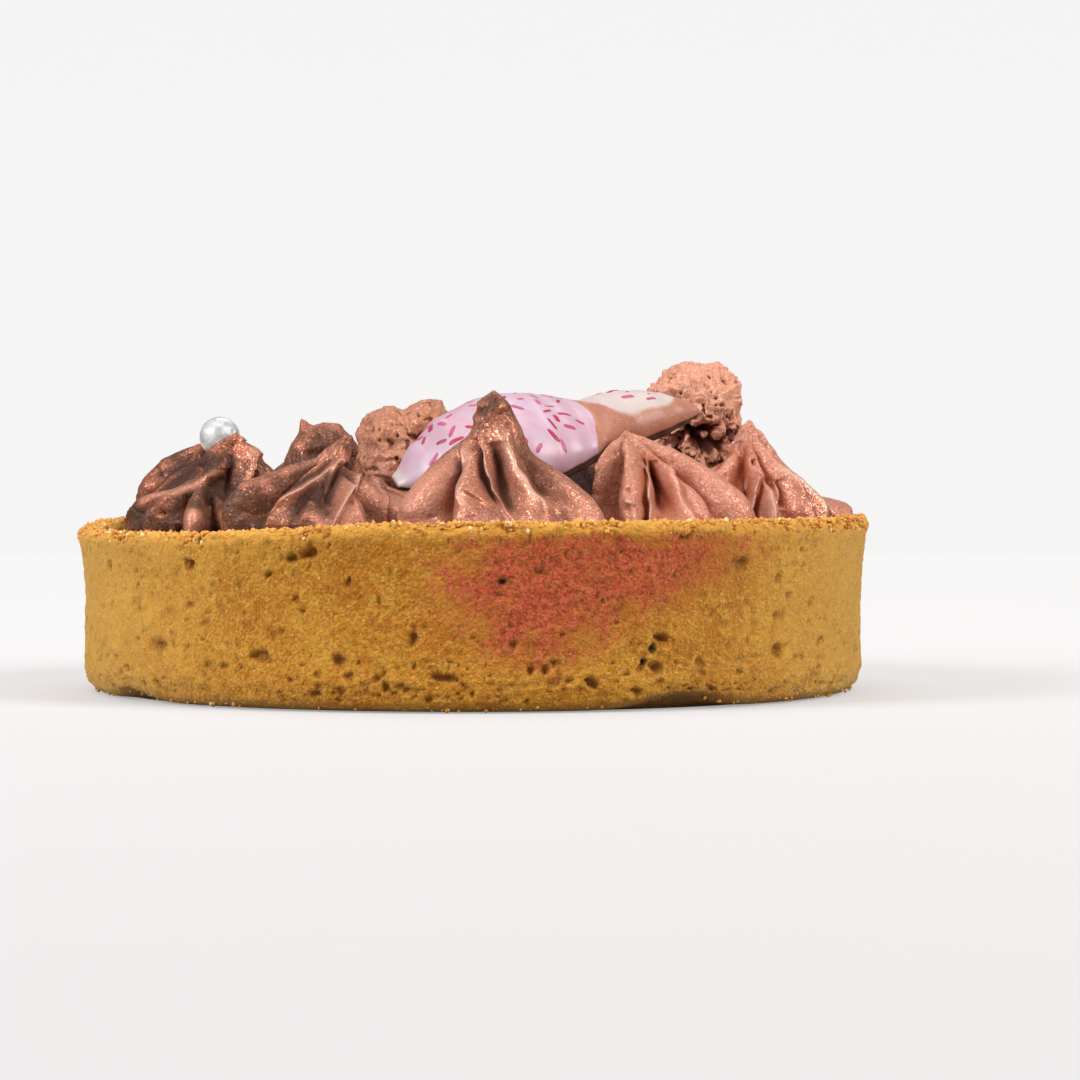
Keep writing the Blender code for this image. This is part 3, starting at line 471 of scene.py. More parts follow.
def along_stroke(stroke, right, up):
    """How strongly a stroke acts at places seen from the front: 1 along its path, less beside it and
    at its ends."""
    path = np.array(stroke.path)
    if len(path) > 1 and path[-1, 1] < BEHIND_RIM:
        path = np.append(path, [[2.0 * path[-1, 0] - path[-2, 0], path[-1, 1] - 3.0]], axis=0)
    if len(path) == 1:
        return np.exp(-((right - path[0, 0]) ** 2 + (up - path[0, 1]) ** 2) / stroke.width**2)
    lengths = np.linalg.norm(np.diff(path, axis=0), axis=1)
    nearest = np.full(right.shape, 60.0)
    run = np.zeros(right.shape)
    done = 0.0
    for start, end, span in zip(path, path[1:], lengths):
        step = (end - start) / span
        share = np.clip((right - start[0]) * step[0] + (up - start[1]) * step[1], 0.0, span)
        distance = np.hypot(right - start[0] - share * step[0], up - start[1] - share * step[1])
        run = np.where(distance < nearest, (done + share) / lengths.sum(), run)
        nearest = np.minimum(nearest, distance)
        done += span
    taper = 1.0 - np.abs(2.0 * run - 1.0) ** 5
    power = 1.0 if stroke.size > 0.0 and stroke.width < SHARP_STROKES else 2.0
    return taper * np.exp(-((nearest / stroke.width) ** power))


def closer_to_front(count):
    """Azimuths all round, the closest together at the front."""
    turn = np.linspace(0.0, 360.0, count, endpoint=False)
    return turn - math.degrees(FRONT_FINENESS) * np.sin(np.radians(turn))


def mesh_piece(name, points, faces, material, marks=None):
    """A smooth piece from points in mm, with a value at each point for every mark that its finish reads."""
    mesh = bpy.data.meshes.new(name)
    mesh.from_pydata((points.reshape(-1, 3) * MM).tolist(), [], faces)
    mesh.validate()
    mesh.shade_smooth()
    for mark, values in (marks or {}).items():
        layer = mesh.attributes.new(mark, "FLOAT", "POINT")
        layer.data.foreach_set("value", np.asarray(values, dtype=np.float32).ravel())
    piece = bpy.data.objects.new(name, mesh)
    mesh.materials.append(material)
    bpy.context.scene.collection.objects.link(piece)
    return piece


def skin(grid, flip=False):
    """Points and faces of a skin over rings of points, closed at its first and last ring by a fan."""
    rings, count = grid.shape[:2]
    ends = np.stack([grid[0].mean(axis=0), grid[-1].mean(axis=0)])
    points = np.concatenate([grid.reshape(-1, 3), ends])
    index = np.arange(rings * count).reshape(rings, count)
    after = np.roll(index, -1, axis=1)
    quads = np.stack([index[:-1], after[:-1], after[1:], index[1:]], axis=-1).reshape(-1, 4)
    low = np.stack([after[0], index[0], np.full(count, rings * count)], axis=-1)
    high = np.stack([index[-1], after[-1], np.full(count, rings * count + 1)], axis=-1)
    faces = quads.tolist() + low.tolist() + high.tolist()
    if flip:
        faces = [face[::-1] for face in faces]
    return points, faces


def with_ends(values):
    """Values of a skin's rings, with those of its two end points."""
    return np.concatenate([values.ravel(), [values[0].mean(), values[-1].mean()]])


def settle(piece, slot, *nodes):
    """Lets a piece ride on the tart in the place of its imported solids."""
    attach(piece, BODY)
    if nodes:
        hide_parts(*nodes)


# Case


def rim_rise(azimuth):
    way = heading(azimuth)
    dip = RIM_DIP * np.exp(-((turn_between(azimuth, RIM_DIP_AZIMUTH) / RIM_DIP_WIDTH) ** 4))
    return RIM_TILT_RIGHT * way[..., 0] + RIM_TILT_BACK * way[..., 1] - dip


def foot_rise(azimuth):
    rise = 0.0
    for lift in FOOT_LIFTS:
        rise = rise + lift.height * np.exp(-((turn_between(azimuth, lift.azimuth) / lift.width) ** 2))
    return rise


def case_section(case):
    """Half section of the case in rows: from the middle of its recess over the rim to that of its foot."""
    sizes = (case.rim_radius, case.wall_radius, case.foot_radius, case.height)
    rim, wall, foot, height = [size / MM for size in sizes]
    corners = [
        (0.2, RECESS_FLOOR, 1),
        (wall - WALL_THICKNESS - 0.6, RECESS_FLOOR, 2),
        (wall - WALL_THICKNESS, RECESS_FLOOR + 0.8, 12),
        (rim - WALL_THICKNESS, height - 0.5, 4),
        (rim - WALL_THICKNESS + 0.6, height, 8),
        (rim - 0.5, height, 4),
        (rim, height - 0.7, 13),
        (wall + 0.3, 0.78 * height, 15),
        (wall, 0.55 * height, 17),
        (wall, 0.3 * height, 13),
        (wall + 0.1, 0.14 * height, 8),
        (foot + 0.6, 1.0, 4),
        (foot - 0.6, 0.15, 3),
        (foot - 2.0, 0.0, 2),
        (0.5 * foot, 0.0, 1),
        (0.2, 0.0, 1),
    ]
    rows = []
    for start, end in zip(corners, corners[1:]):
        for step in range(start[2]):
            share = step / start[2]
            rows.append((start[0] + (end[0] - start[0]) * share, start[1] + (end[1] - start[1]) * share))
    rows.append(corners[-1][:2])
    section = np.array(rows)
    for _ in range(3):
        section[2:-2] = 0.25 * section[1:-3] + 0.5 * section[2:-2] + 0.25 * section[3:-1]
    return section


def pore_depth(pore, azimuth, height, ragged, girth):
    """How deep a pore is at each point of the wall, and how much of it lies in shade."""
    across = np.radians(turn_between(azimuth, pore.azimuth)) * girth + 0.35 * ragged
    up = height - pore.height + 0.25 * np.roll(ragged, 7, axis=1)
    distance = np.sqrt((across / (0.5 * pore.width)) ** 2 + (up / (0.5 * pore.tall)) ** 2)
    return smooth_step(1.25, 0.55, distance)


def bake_case(case, material):
    section = case_section(case)
    azimuth, _ = np.meshgrid(closer_to_front(CASE_COLUMNS), section[:, 0])
    radius = np.repeat(section[:, :1], CASE_COLUMNS, axis=1)
    height = np.repeat(section[:, 1:], CASE_COLUMNS, axis=1)
    full_height = case.height / MM
    girth = case.wall_radius / MM
    slope = np.gradient(section, axis=0)
    slope /= np.linalg.norm(slope, axis=1, keepdims=True)
    outward, upward = -slope[:, 1:], slope[:, :1]
    wall = smooth_step(0.6, 0.95, outward) * (radius > girth - 0.5 * WALL_THICKNESS)
    crown = smooth_step(full_height - 1.9, full_height - 0.9, height)
    shown = np.maximum(wall, crown) * smooth_step(0.0, 0.8, height)

    flat = np.concatenate([heading(azimuth) * radius[..., None], height[..., None]], axis=-1)
    ragged = rough(flat, 0.9, 3)
    relief = 0.10 * rough(flat, 6.0, 11, 2) + 0.09 * rough(flat, 1.9, 17, 2) + 0.10 * rough(flat, 0.7, 23, 2)
    pitted = smooth_step(0.34, 0.60, value_noise(flat / 0.62, 29))
    pitted *= smooth_step(-0.5, 0.3, value_noise(flat / 3.1, 35))
    relief -= 0.20 * pitted
    grains = 0.5 - np.abs(value_noise(flat / 0.75, 31)) + 0.6 * (0.5 - np.abs(value_noise(flat / 0.5, 33)))
    relief += crown * (0.32 * grains + 0.20 * rough(flat, 2.2, 37))
    ragged_foot = smooth_step(2.6, 0.4, height) * (radius > girth - 2.2)
    relief += ragged_foot * (0.26 * rough(flat, 1.4, 41, 3) + 0.10 * grains)
    relief *= case.relief

    pores = list(PORES)
    draw = random.Random(5)
    for _ in range(SMALL_PORES):
        size = 0.45 + 1.0 * draw.random() ** 3
        tall = size * draw.uniform(0.6, 1.0)
        low = draw.random() < 0.45
        place = draw.uniform(1.2, 5.5) if low else draw.uniform(4.0, full_height - 1.0)
        pores.append(Pore(draw.uniform(0.0, 360.0), place, size, tall, 0.30 + 0.35 * size * draw.random()))
    # Painted shade in the pits
    shade = 0.55 * pitted
    burnt = np.zeros_like(radius)
    for pore in pores + FLECKS:
        columns = np.abs(turn_between(azimuth[0], pore.azimuth)) < 4.0
        rows = (wall[:, 0] > 0.0) & (np.abs(section[:, 1] - pore.height) < 3.0)
        cells = np.ix_(rows, columns)
        mask = pore_depth(pore, azimuth[cells], height[cells], ragged[cells], girth)
        relief[cells] -= pore.depth * mask * wall[cells]
        target = burnt if pore in FLECKS else shade
        target[cells] = np.maximum(target[cells], mask)

    # Fine level cracks in the lower part of the wall, with painted shade in them
    strata = np.stack([np.radians(azimuth) * girth / 4.5, height / 0.75, np.full_like(height, 3.1)], axis=-1)
    line = smooth_step(0.10, 0.0, np.abs(value_noise(strata, 51)))
    where = smooth_step(7.5, 5.0, height) * smooth_step(1.0, 2.0, height) * wall
    where *= smooth_step(-0.35, 0.2, value_noise(flat / 9.0, 53))
    relief -= 0.26 * line * where
    shade = np.maximum(shade, 0.8 * line * where)

    # Painted shadow under the lifted parts of the foot
    lifted_foot = np.clip(foot_rise(azimuth) / 1.2, 0.0, 1.0) * smooth_step(2.4, 0.8, height)
    shade = np.maximum(shade, lifted_foot * (radius > girth - 3.0))
    wobble = np.zeros_like(radius)
    for column in range(CASE_COLUMNS):
        way = heading(azimuth[0, column]) * 1.6
        for row in np.flatnonzero(radius[:, 0] > girth - 0.5 * WALL_THICKNESS):
            wobble[row, column] = noise.noise((way[0], way[1], height[row, column] / 9.0))
    above = smooth_step(RECESS_FLOOR + 0.5, RECESS_FLOOR + 1.5, height)
    lifted = rim_rise(azimuth) * (height - RECESS_FLOOR) / (full_height - RECESS_FLOOR) * above
    near_foot = (radius > case.foot_radius / MM - 1.5) & (height < FOOT_BAND)
    lifted += foot_rise(azimuth) * (1.0 - height / FOOT_BAND) * near_foot
    radius = radius + case.wobble / MM * wobble + relief * shown * outward
    level = np.maximum(0.0, height + lifted + relief * shown * upward)
    grid = np.concatenate([heading(azimuth) * radius[..., None], level[..., None]], axis=-1)

    dust = np.zeros_like(radius)
    for patch in DUSTINGS:
        aside = turn_between(azimuth, patch.azimuth) / patch.width
        dust += patch.strength * np.exp(-(aside**2) - ((height - patch.height) / patch.tall) ** 2)
    dust = np.clip(dust, 0.0, 1.0) * smooth_step(full_height, full_height - 1.8, height)
    coloured = smooth_step(-2.6, -0.5, height - full_height)
    # The pore mark carries the painted shade of the pores, pits, cracks and lifted foot
    marks = {"pore": shade, "dust": dust, "burnt": burnt, "crown": coloured}
    points, faces = skin(grid, flip=True)
    marks = {mark: with_ends(values) for mark, values in marks.items()}
    piece = mesh_piece("baked_case", points, faces, material, marks)
    settle(piece, "shortcrust", "shortcrust_case")


def scatter_crumbs(case, material):
    """The crumbly edge of the rim, and looser crumbs round the foot."""
    draw = random.Random(8)
    grain = bmesh.new()
    bmesh.ops.create_icosphere(grain, subdivisions=1, radius=1.0)
    shape = np.array([vertex.co for vertex in grain.verts])
    shell = [[vertex.index for vertex in face.verts] for face in grain.faces]
    grain.free()
    rim, height, foot = case.rim_radius / MM, case.height / MM, case.foot_radius / MM
    points, faces, tones = [], [], []
    for number in range(CRUMBS):
        azimuth = draw.uniform(0.0, 360.0)
        size = 0.11 + 0.28 * draw.random() ** 2
        if number % 20:
            inside = draw.random() ** 1.4 * (WALL_THICKNESS - 0.3) - 0.12
            lifted = height + rim_rise(azimuth) - 0.12 + 0.36 * draw.random() ** 2
            place = [rim - 0.1 - max(0.0, inside), lifted]
            if inside < 0.15:
                place[1] -= draw.uniform(0.05, 1.1)
        else:
            size *= 0.8
            place = [foot + draw.uniform(-0.3, 0.1), foot_rise(azimuth) * 0.8 + draw.uniform(0.25, 0.8)]
        stretch = np.array([draw.uniform(0.7, 1.3) for _ in range(3)])
        jitter = 1.0 + 0.25 * np.array([draw.uniform(-1.0, 1.0) for _ in shape])[:, None]
        centre = np.append(heading(azimuth) * place[0], place[1])
        base = len(points) * len(shape)
        points.append(shape * jitter * stretch * size + centre)
        faces += [[base + corner for corner in face] for face in shell]
        tones.append(np.full(len(shape), draw.random()))
    piece = mesh_piece("crumbs", np.concatenate(points), faces, material, {"tone": np.concatenate(tones)})
    settle(piece, "shortcrust")


def spread_filling(case, material):
    """The top of the filling, smoothed by hand, with a little of it pushed up along the rim."""
    reach = case.wall_radius / MM - WALL_THICKNESS - 0.15
    rows = [(0.2, FILLING_TOP)] + [(reach * step / 24.0, FILLING_TOP) for step in range(1, 25)]
    rows += [(reach, RECESS_FLOOR + 1.2), (reach - 0.9, RECESS_FLOOR + 0.3), (0.2, RECESS_FLOOR + 0.3)]
    section = np.array(rows)
    azimuth, _ = np.meshgrid(np.linspace(0.0, 360.0, 140, endpoint=False), section[:, 0])
    radius = np.repeat(section[:, :1], 140, axis=1)
    height = np.repeat(section[:, 1:], 140, axis=1)
    flat = np.concatenate([heading(azimuth) * radius[..., None], height[..., None]], axis=-1)
    top = height > FILLING_TOP - 0.1
    flat[..., 2] += top * (0.16 * rough(flat, 7.0, 61) + 0.04 * rough(flat, 1.5, 63))
    points, faces = skin(flat, flip=True)
    piece = mesh_piece("spread_filling", points, faces, material)
    settle(piece, "praline_cream", "praline_filling")


# Piped cream


def plain_folds(draw, reach, given):
    """Folds that follow one rule, evenly turned and unevenly long, where none of the given ones lies."""
    start = draw.uniform(0.0, 360.0 / PLAIN_FOLDS)
    folds = list(given)
    for index in range(PLAIN_FOLDS):
        azimuth = start + 360.0 * index / PLAIN_FOLDS + draw.uniform(-6.0, 6.0)
        fold = Fold(
            azimuth,
            reach * draw.uniform(0.92, 1.06),
            draw.uniform(0.78, 0.95),
            draw.uniform(1.4, 2.4),
            draw.uniform(0.9, 1.4),
            draw.uniform(26.0, 31.0),
            draw.uniform(-16.0, 6.0),
        )
        if all(abs(turn_between(azimuth, other.azimuth)) > 26.0 for other in given):
            folds.append(fold)
    return folds


def all_peaks():
    draw = random.Random(PLAIN_SEED)
    peaks = [Peak(*row, False, True) for row in FRONT_PEAKS]
    for name, azimuth, distance, tip_height, lean, reach, core, blunt, given in PLAIN_PEAKS:
        folds = plain_folds(draw, reach, given)
        over_rim = given is FAR_RIGHT_FOLDS
        peak = Peak(name, azimuth, distance, tip_height, lean, core, blunt, folds, over_rim, bool(given))
        peaks.append(peak)
    return peaks


def peak_centre(peak):
    return heading(peak.azimuth) * peak.distance


def mean_reach(peak):
    return sum(fold.reach for fold in peak.folds) / len(peak.folds)


def contacts_of(peak, peaks, gap):
    """The planes where a peak presses on its neighbours, each a direction and a distance from its centre."""
    contacts = []
    for other in peaks:
        offset = peak_centre(other) - peak_centre(peak)
        apart = np.linalg.norm(offset)
        if other is peak or apart > 30.0:
            continue
        share = mean_reach(peak) / (mean_reach(peak) + mean_reach(other))
        contacts.append((offset / apart, apart * share - 0.5 * gap))
    return contacts


def fold_radius(fold, azimuth, share):
    """How far a fold stands out from the peak's axis, at shares of the peak's height."""
    swing = np.abs(turn_between(azimuth, fold.azimuth + fold.swirl * share))
    part = np.clip(share / fold.rise, 0.0, 1.0)
    level = np.clip(1.0 - part**fold.shoulder, 0.0, 1.0) ** fold.hollow
    arch = np.clip(np.cos(np.radians(90.0 * np.clip(swing / fold.width, 0.0, 1.0))), 0.0, 1.0) ** 0.5
    crest = CREST_SHARE * (0.5 + 0.5 * math.sin(12.9 * fold.azimuth))
    arch = (1.0 - crest) * arch + crest * np.exp(-swing / CREST_WIDTH) * (swing < fold.width)
    return fold.reach * level * arch


def free_distance(start, way, contacts, centre, wall):
    """How far the cream can spread from start along way before a neighbour or the case stops it."""
    free = np.full(way.shape[:-1], 60.0)
    for normal, offset in contacts:
        pace = way @ normal
        reach = (offset - (start - centre) @ normal) / np.maximum(pace, 1e-6)
        free = np.where(pace > 1e-6, np.minimum(free, reach), free)
    along = np.sum(start * way, axis=-1)
    inside = np.maximum(0.0, along * along + wall**2 - np.sum(start * start, axis=-1))
    return np.maximum(TIP_RADIUS, np.minimum(free, np.sqrt(inside) - along))


def stray_fins(peak, seed):
    """Thin fins dragged up between the folds, on the sides where no strokes are given."""
    draw = random.Random(seed)
    fins = []
    for fold in peak.folds:
        azimuth = fold.azimuth + fold.width * draw.uniform(0.7, 0.95)
        size = fold.reach * draw.uniform(0.72, 0.9)
        if draw.random() < 0.6 and (peak.name not in STROKES or math.cos(math.radians(azimuth)) < 0.1):
            fins.append(Fold(azimuth, size, 0.8 * fold.rise, 1.6, 1.0, 6.0, fold.swirl))
    return fins


def peak_surface(peak, peaks, cream):
    """Rings of points over a peak, and how deep in a hollow and how high on a crest each of them lies."""
    strokes = STROKES.get(peak.name, [])
    sides, levels = (BEHIND_SIDES, BEHIND_LEVELS) if peak.in_front else (PLAIN_SIDES, PLAIN_LEVELS)
    if peak.name in FRONT_NAMES:
        sides, levels = FRONT_SIDES, FRONT_LEVELS
    rise = peak.tip_height - CREAM_GIRTH
    shares = np.append(np.linspace(0.0, 0.975, levels), [0.983, 0.99, 0.995, 0.9985])
    heights = np.append(np.linspace(CREAM_FOOT, CREAM_GIRTH, 6)[:-1], CREAM_GIRTH + rise * shares)
    azimuth, height = np.meshgrid(closer_to_front(sides), heights)
    share = np.clip((height - CREAM_GIRTH) / rise, 0.0, 1.0)
    centre = peak_centre(peak)
    start = centre + np.array(peak.lean) * share[..., None] ** 2
    way = heading(azimuth)
    seed = 100 + 7 * [other.name for other in peaks].index(peak.name)
    lumpy = cream.unevenness * (1.0 + 0.9 * smooth_step(-8.0, -26.0, centre[0]))
    drum = np.concatenate([start + 5.0 * way, height[..., None]], axis=-1)
    true_azimuth, true_share = azimuth, share
    azimuth = azimuth + cream.unevenness * 5.0 * rough(drum, 4.0, seed + 4, 2)
    share = np.clip(share + cream.unevenness * 0.03 * rough(drum, 3.5, seed + 5, 2) * (share < 0.9), 0.0, 1.0)

    facing = -way[..., 1]
    core = peak.core * (1.0 - share) ** peak.blunt
    fuller = FRONT_BODY * smooth_step(0.1, 0.6, facing) if strokes and peak.in_front else 0.0
    body = (BODY_SHARE + fuller) * mean_reach(peak) * np.maximum(0.0, 1.0 - share / BODY_RISE)
    sharpness = cream.crest_sharpness
    inner = (core**sharpness + body**sharpness) ** (1.0 / sharpness)
    total = inner**sharpness
    envelope = inner.copy()
    for fold in peak.folds:
        stand = fold_radius(fold, azimuth, share)
        envelope = np.maximum(envelope, np.max(stand, axis=1, keepdims=True))
        total = total + stand**sharpness
    for fin in stray_fins(peak, seed):
        total = total + fold_radius(fin, azimuth, share) ** sharpness
    tuck = 0.07 * np.clip((CREAM_GIRTH - height) / (CREAM_GIRTH - CREAM_FLOOR), 0.0, 1.0) ** 2
    radius = total ** (1.0 / sharpness) * (1.0 - tuck)
    # Painted shade: the hollow mark darkens the cream between its folds
    hollow = np.clip(1.8 * (1.0 - radius / np.maximum(envelope, 1e-3)), 0.0, 1.0)
    hollow *= smooth_step(0.95, 0.6, share)

    place = np.concatenate([start + way * radius[..., None], height[..., None]], axis=-1)
    crest = np.zeros_like(radius)
    seen = smooth_step(-0.35, 0.25, facing)
    waver = 0.22 * value_noise(place / 1.6, seed + 6)
    # Strokes that stand out get a painted highlight and more lustre along them; grooves get painted shade
    for stroke in strokes:
        mask = along_stroke(stroke, place[..., 0] + waver, height + 0.5 * waver) * seen
        radius = radius + stroke.size * mask
        if stroke.size < 0.0:
            hollow = np.maximum(hollow * (1.0 - mask), min(1.0, -0.8 * stroke.size) * mask)
        else:
            crest = np.maximum(crest, min(1.0, stroke.size) * mask)
            hollow = hollow * (1.0 - 0.7 * mask)
    azimuth, share = true_azimuth, true_share
    turn = np.radians(azimuth)
    drag = np.stack([np.cos(turn) * 5.5, np.sin(turn) * 5.5, share * 1.6 + seed], axis=-1)
    ripple = 0.08 * rough(drag, 1.0, seed, 2) + 0.15 * lumpy * rough(place, 2.8, seed + 1, 2)
    ripple += 0.24 * smooth_step(0.70, 0.95, share) * rough(place, 1.0, seed + 2, 2)
    ripple += 0.055 * lumpy * rough(place, 0.8, seed + 3, 2)
    radius = np.maximum(TIP_RADIUS, radius + cream.unevenness * ripple)

    rounding = ROUND_TIPS.get(peak.name, TIP_ROUNDING)
    below = np.clip((peak.tip_height - height) / rounding, 0.0, 1.0)
    radius = radius * np.sqrt(np.clip(1.0 - (1.0 - below) ** 2, 0.0, 1.0)) + 0.02

    contacts = contacts_of(peak, peaks, cream.gap / MM)
    wall = np.where(height > RIM_CLEAR, 60.0, CREAM_WALL) if peak.over_rim else CREAM_WALL
    free = free_distance(start, way, contacts, centre, wall)
    pressed = (radius**-PRESSING + free**-PRESSING) ** (-1.0 / PRESSING)
    # Painted shade where a peak presses on its neighbour
    squeezed = smooth_step(0.92, 1.08, radius / free) * smooth_step(26.0, 21.0, height)
    hollow = np.maximum(hollow, 0.8 * squeezed) * smooth_step(1.0, 0.85, share)
    grid = np.concatenate([start + way * pressed[..., None], height[..., None]], axis=-1)
    return grid, {"hollow": hollow, "crest": crest}


def draw_out(points, wisps):
    for wisp in wisps:
        apart = np.linalg.norm(points - np.array(wisp.start), axis=-1, keepdims=True)
        points = points + np.array(wisp.pull) * np.exp(-((apart / wisp.width) ** 2))
    return points


def lustre_on(points):
    """How much lustre lies on the cream at each point."""
    fallen = np.interp(points[:, 0], *zip(*LUSTRE_FALL))
    # Some of the patches are partly painted highlight and painted shade
    for patch in LUSTRE_AND_LIGHT_PATCHES:
        apart = np.hypot(points[:, 0] - patch.right, points[:, 2] - patch.up)
        fallen += patch.change * np.exp(-((apart / patch.width) ** 2)) * (points[:, 1] < 0.0)
    return np.clip(fallen, 0.0, 1.0)


def under_fish(points, matrix):
    """1 where the fish keeps lustre and light off the cream below it, 0 well away from it."""
    local = (points - np.array(matrix.translation)) @ np.array(matrix.to_3x3())
    front, back, _, _ = fish_sizes(local[..., 0])
    beyond = np.maximum(local[..., 1] - back, -front - local[..., 1])
    beyond = np.maximum(beyond, np.maximum(-local[..., 0], local[..., 0] - FISH_LENGTH))
    return smooth_step(0.8, -0.8, beyond) * smooth_step(0.6, -0.4, local[..., 2])


def press_by_pearl(points, radius):
    """Cream inside the pearl lies round it instead."""
    offset = points - np.array(PEARL_PLACE)
    distance = np.linalg.norm(offset, axis=-1, keepdims=True)
    inside = distance < radius
    return np.where(inside, np.array(PEARL_PLACE) + offset / np.maximum(distance, 1e-6) * radius, points)


def press_by_fish(points, matrix):
    """Cream inside the fish is pushed out below its base, or out of its side where that is nearer."""
    turn = np.array(matrix.to_3x3())
    origin = np.array(matrix.translation)
    local = (points - origin) @ turn
    front, back, edge, dome = fish_sizes(local[..., 0])
    half = 0.5 * (front + back) + 0.05
    middle = 0.5 * (back - front)
    side = (local[..., 1] - middle) / half
    top = edge + dome * np.sqrt(np.clip(1.0 - side**2, 0.0, 1.0))
    inside = (np.abs(side) < 1.0) & (local[..., 2] > -0.05) & (local[..., 2] < top)
    inside &= (local[..., 0] > 0.0) & (local[..., 0] < FISH_SPINE)
    aside = (1.0 - np.abs(side)) * half
    sideways = aside < local[..., 2]
    moved = local.copy()
    moved[..., 1] = np.where(inside & sideways, middle + half * np.sign(side), local[..., 1])
    moved[..., 2] = np.where(inside & ~sideways, -0.05, local[..., 2])
    return moved @ turn.T + origin


def press_by_brittle(points, brittle):
    """Cream inside a piece of brittle lies against it instead."""
    flat = points.reshape(-1, 3)
    offset = flat - np.array(brittle.centre)
    distance = np.linalg.norm(offset, axis=-1)
    near = np.flatnonzero(distance < 13.0)
    if len(near) == 0:
        return points
    ways = offset[near] / np.maximum(distance[near], 1e-6)[:, None]
    reach = brittle_body(brittle, ways)
    inside = distance[near] < reach
    flat = flat.copy()
    flat[near[inside]] = np.array(brittle.centre) + ways[inside] * reach[inside, None]
    return flat.reshape(points.shape)


def pipe_peaks(cream, toppings, material):
    peaks = all_peaks()
    matrix = fish_matrix(math.degrees(toppings.fish_tilt))
    for peak in peaks:
        grid, marks = peak_surface(peak, peaks, cream)
        points, faces = skin(grid)
        points = draw_out(points, [wisp for wisp in WISPS if wisp.peak == peak.name])
        points = press_by_pearl(points, toppings.pearl_radius / MM + 0.05)
        points = press_by_fish(points, matrix)
        for brittle in BRITTLES:
            points = press_by_brittle(points, brittle)
        marks = {mark: with_ends(values) for mark, values in marks.items()}
        # Painted shadow under the fish: the cream there takes no lustre and the dark hollow shade
        fish_shadow = under_fish(points, matrix)
        marks["dusted"] = lustre_on(points) * (1.0 - fish_shadow)
        marks["hollow"] = np.maximum(marks["hollow"], fish_shadow)
        piece = mesh_piece("piped_" + peak.name, points, faces, material, marks)
        settle(piece, "copper_cream", peak.name)


# Toppings


def fish_sizes(place):
    """Half-widths, edge and dome of the fish at places along it, eased from each point of its outline."""
    outline = np.array(FISH_OUTLINE)
    place = np.clip(place, outline[0, 0], outline[-1, 0])
    index = np.clip(np.searchsorted(outline[:, 0], place) - 1, 0, len(outline) - 2)
    low, high = outline[index], outline[index + 1]
    share = (place - low[..., 0]) / (high[..., 0] - low[..., 0])
    blend = 0.5 * (share + share * share * (3.0 - 2.0 * share))
    sizes = low + (high - low) * blend[..., None]
    return sizes[..., 1], sizes[..., 2], sizes[..., 3], sizes[..., 4]


def fish_matrix(tilt):
    """Places the fish: X runs from its mouth to its tail, Y across towards the back, Z out of its base."""
    along = (FISH_TAIL - FISH_HEAD).normalized()
    level_front = Vector((0.0, -1.0, 0.0))
    front = (level_front - along * level_front.dot(along)).normalized()
    up = along.cross(front)
    up = -up if up.z < 0 else up
    face = up * math.cos(math.radians(tilt)) + front * math.sin(math.radians(tilt))
    across = face.cross(along)
    matrix = Matrix((along, across, face)).transposed().to_4x4()
    return Matrix.Translation(FISH_HEAD) @ matrix


def fish_points(matrix, place, side, height):
    """Points of the fish in mm, from the place along it, the share of its half-width and the height."""
    front, back, _, _ = fish_sizes(place)
    middle = 0.5 * (back - front)
    half = 0.5 * (back + front)
    slant = np.clip((place - FISH_SLANT_START) / (FISH_SPINE - FISH_SLANT_START), 0.0, 1.0)
    lead = (FISH_LENGTH - FISH_SPINE) * slant * (0.5 - 0.5 * side)
    local = np.stack([place + lead, middle + half * side, height], axis=-1)
    return local @ np.array(matrix.to_3x3()).T + np.array(matrix.translation)


def place_fish(toppings, coat, dash_paint):
    matrix = fish_matrix(math.degrees(toppings.fish_tilt))
    places = FISH_SPINE * np.linspace(0.0, 1.0, FISH_STATIONS)
    front, back, edge, dome = [size[:, None] for size in fish_sizes(places)]
    half = 0.5 * (back + front)
    angle = np.linspace(0.0, math.pi, FISH_ARC)[None, :]
    dome_side = np.repeat(-np.cos(angle), len(places), axis=0)
    dome_height = edge + dome * np.sin(angle)
    skirt = np.array([0.0, 0.15, 0.4, 0.62, 0.70, 0.78, 0.9])[None, :]
    inset = np.array([0.55, 0.35, 0.28, 0.26, 0.20, 0.06, 0.0])[None, :] / half
    skirt_side = 1.0 - inset
    skirt_height = edge * skirt
    side = np.concatenate([-skirt_side, dome_side, skirt_side[:, ::-1]], axis=1)
    height = np.concatenate([skirt_height, dome_height, skirt_height[:, ::-1]], axis=1)
    place = np.repeat(places[:, None], side.shape[1], axis=1)
    grid = fish_points(matrix, place, side, height)
    spot = np.stack([place, side * half, height], axis=-1)
    face = np.array(matrix.to_3x3())[:, 2]
    grid = grid + (0.05 * rough(spot, 3.5, 71) * smooth_step(0.5, 2.0, height))[..., None] * face
    points, faces = skin(grid)
    marks = {"along": with_ends(place), "across": with_ends(side), "above": with_ends(height / edge)}
    piece = mesh_piece("coated_fish", points, faces, coat, marks)
    settle(piece, "pink_chocolate", "chocolate_fish")
    paint_dashes(matrix, dash_paint)


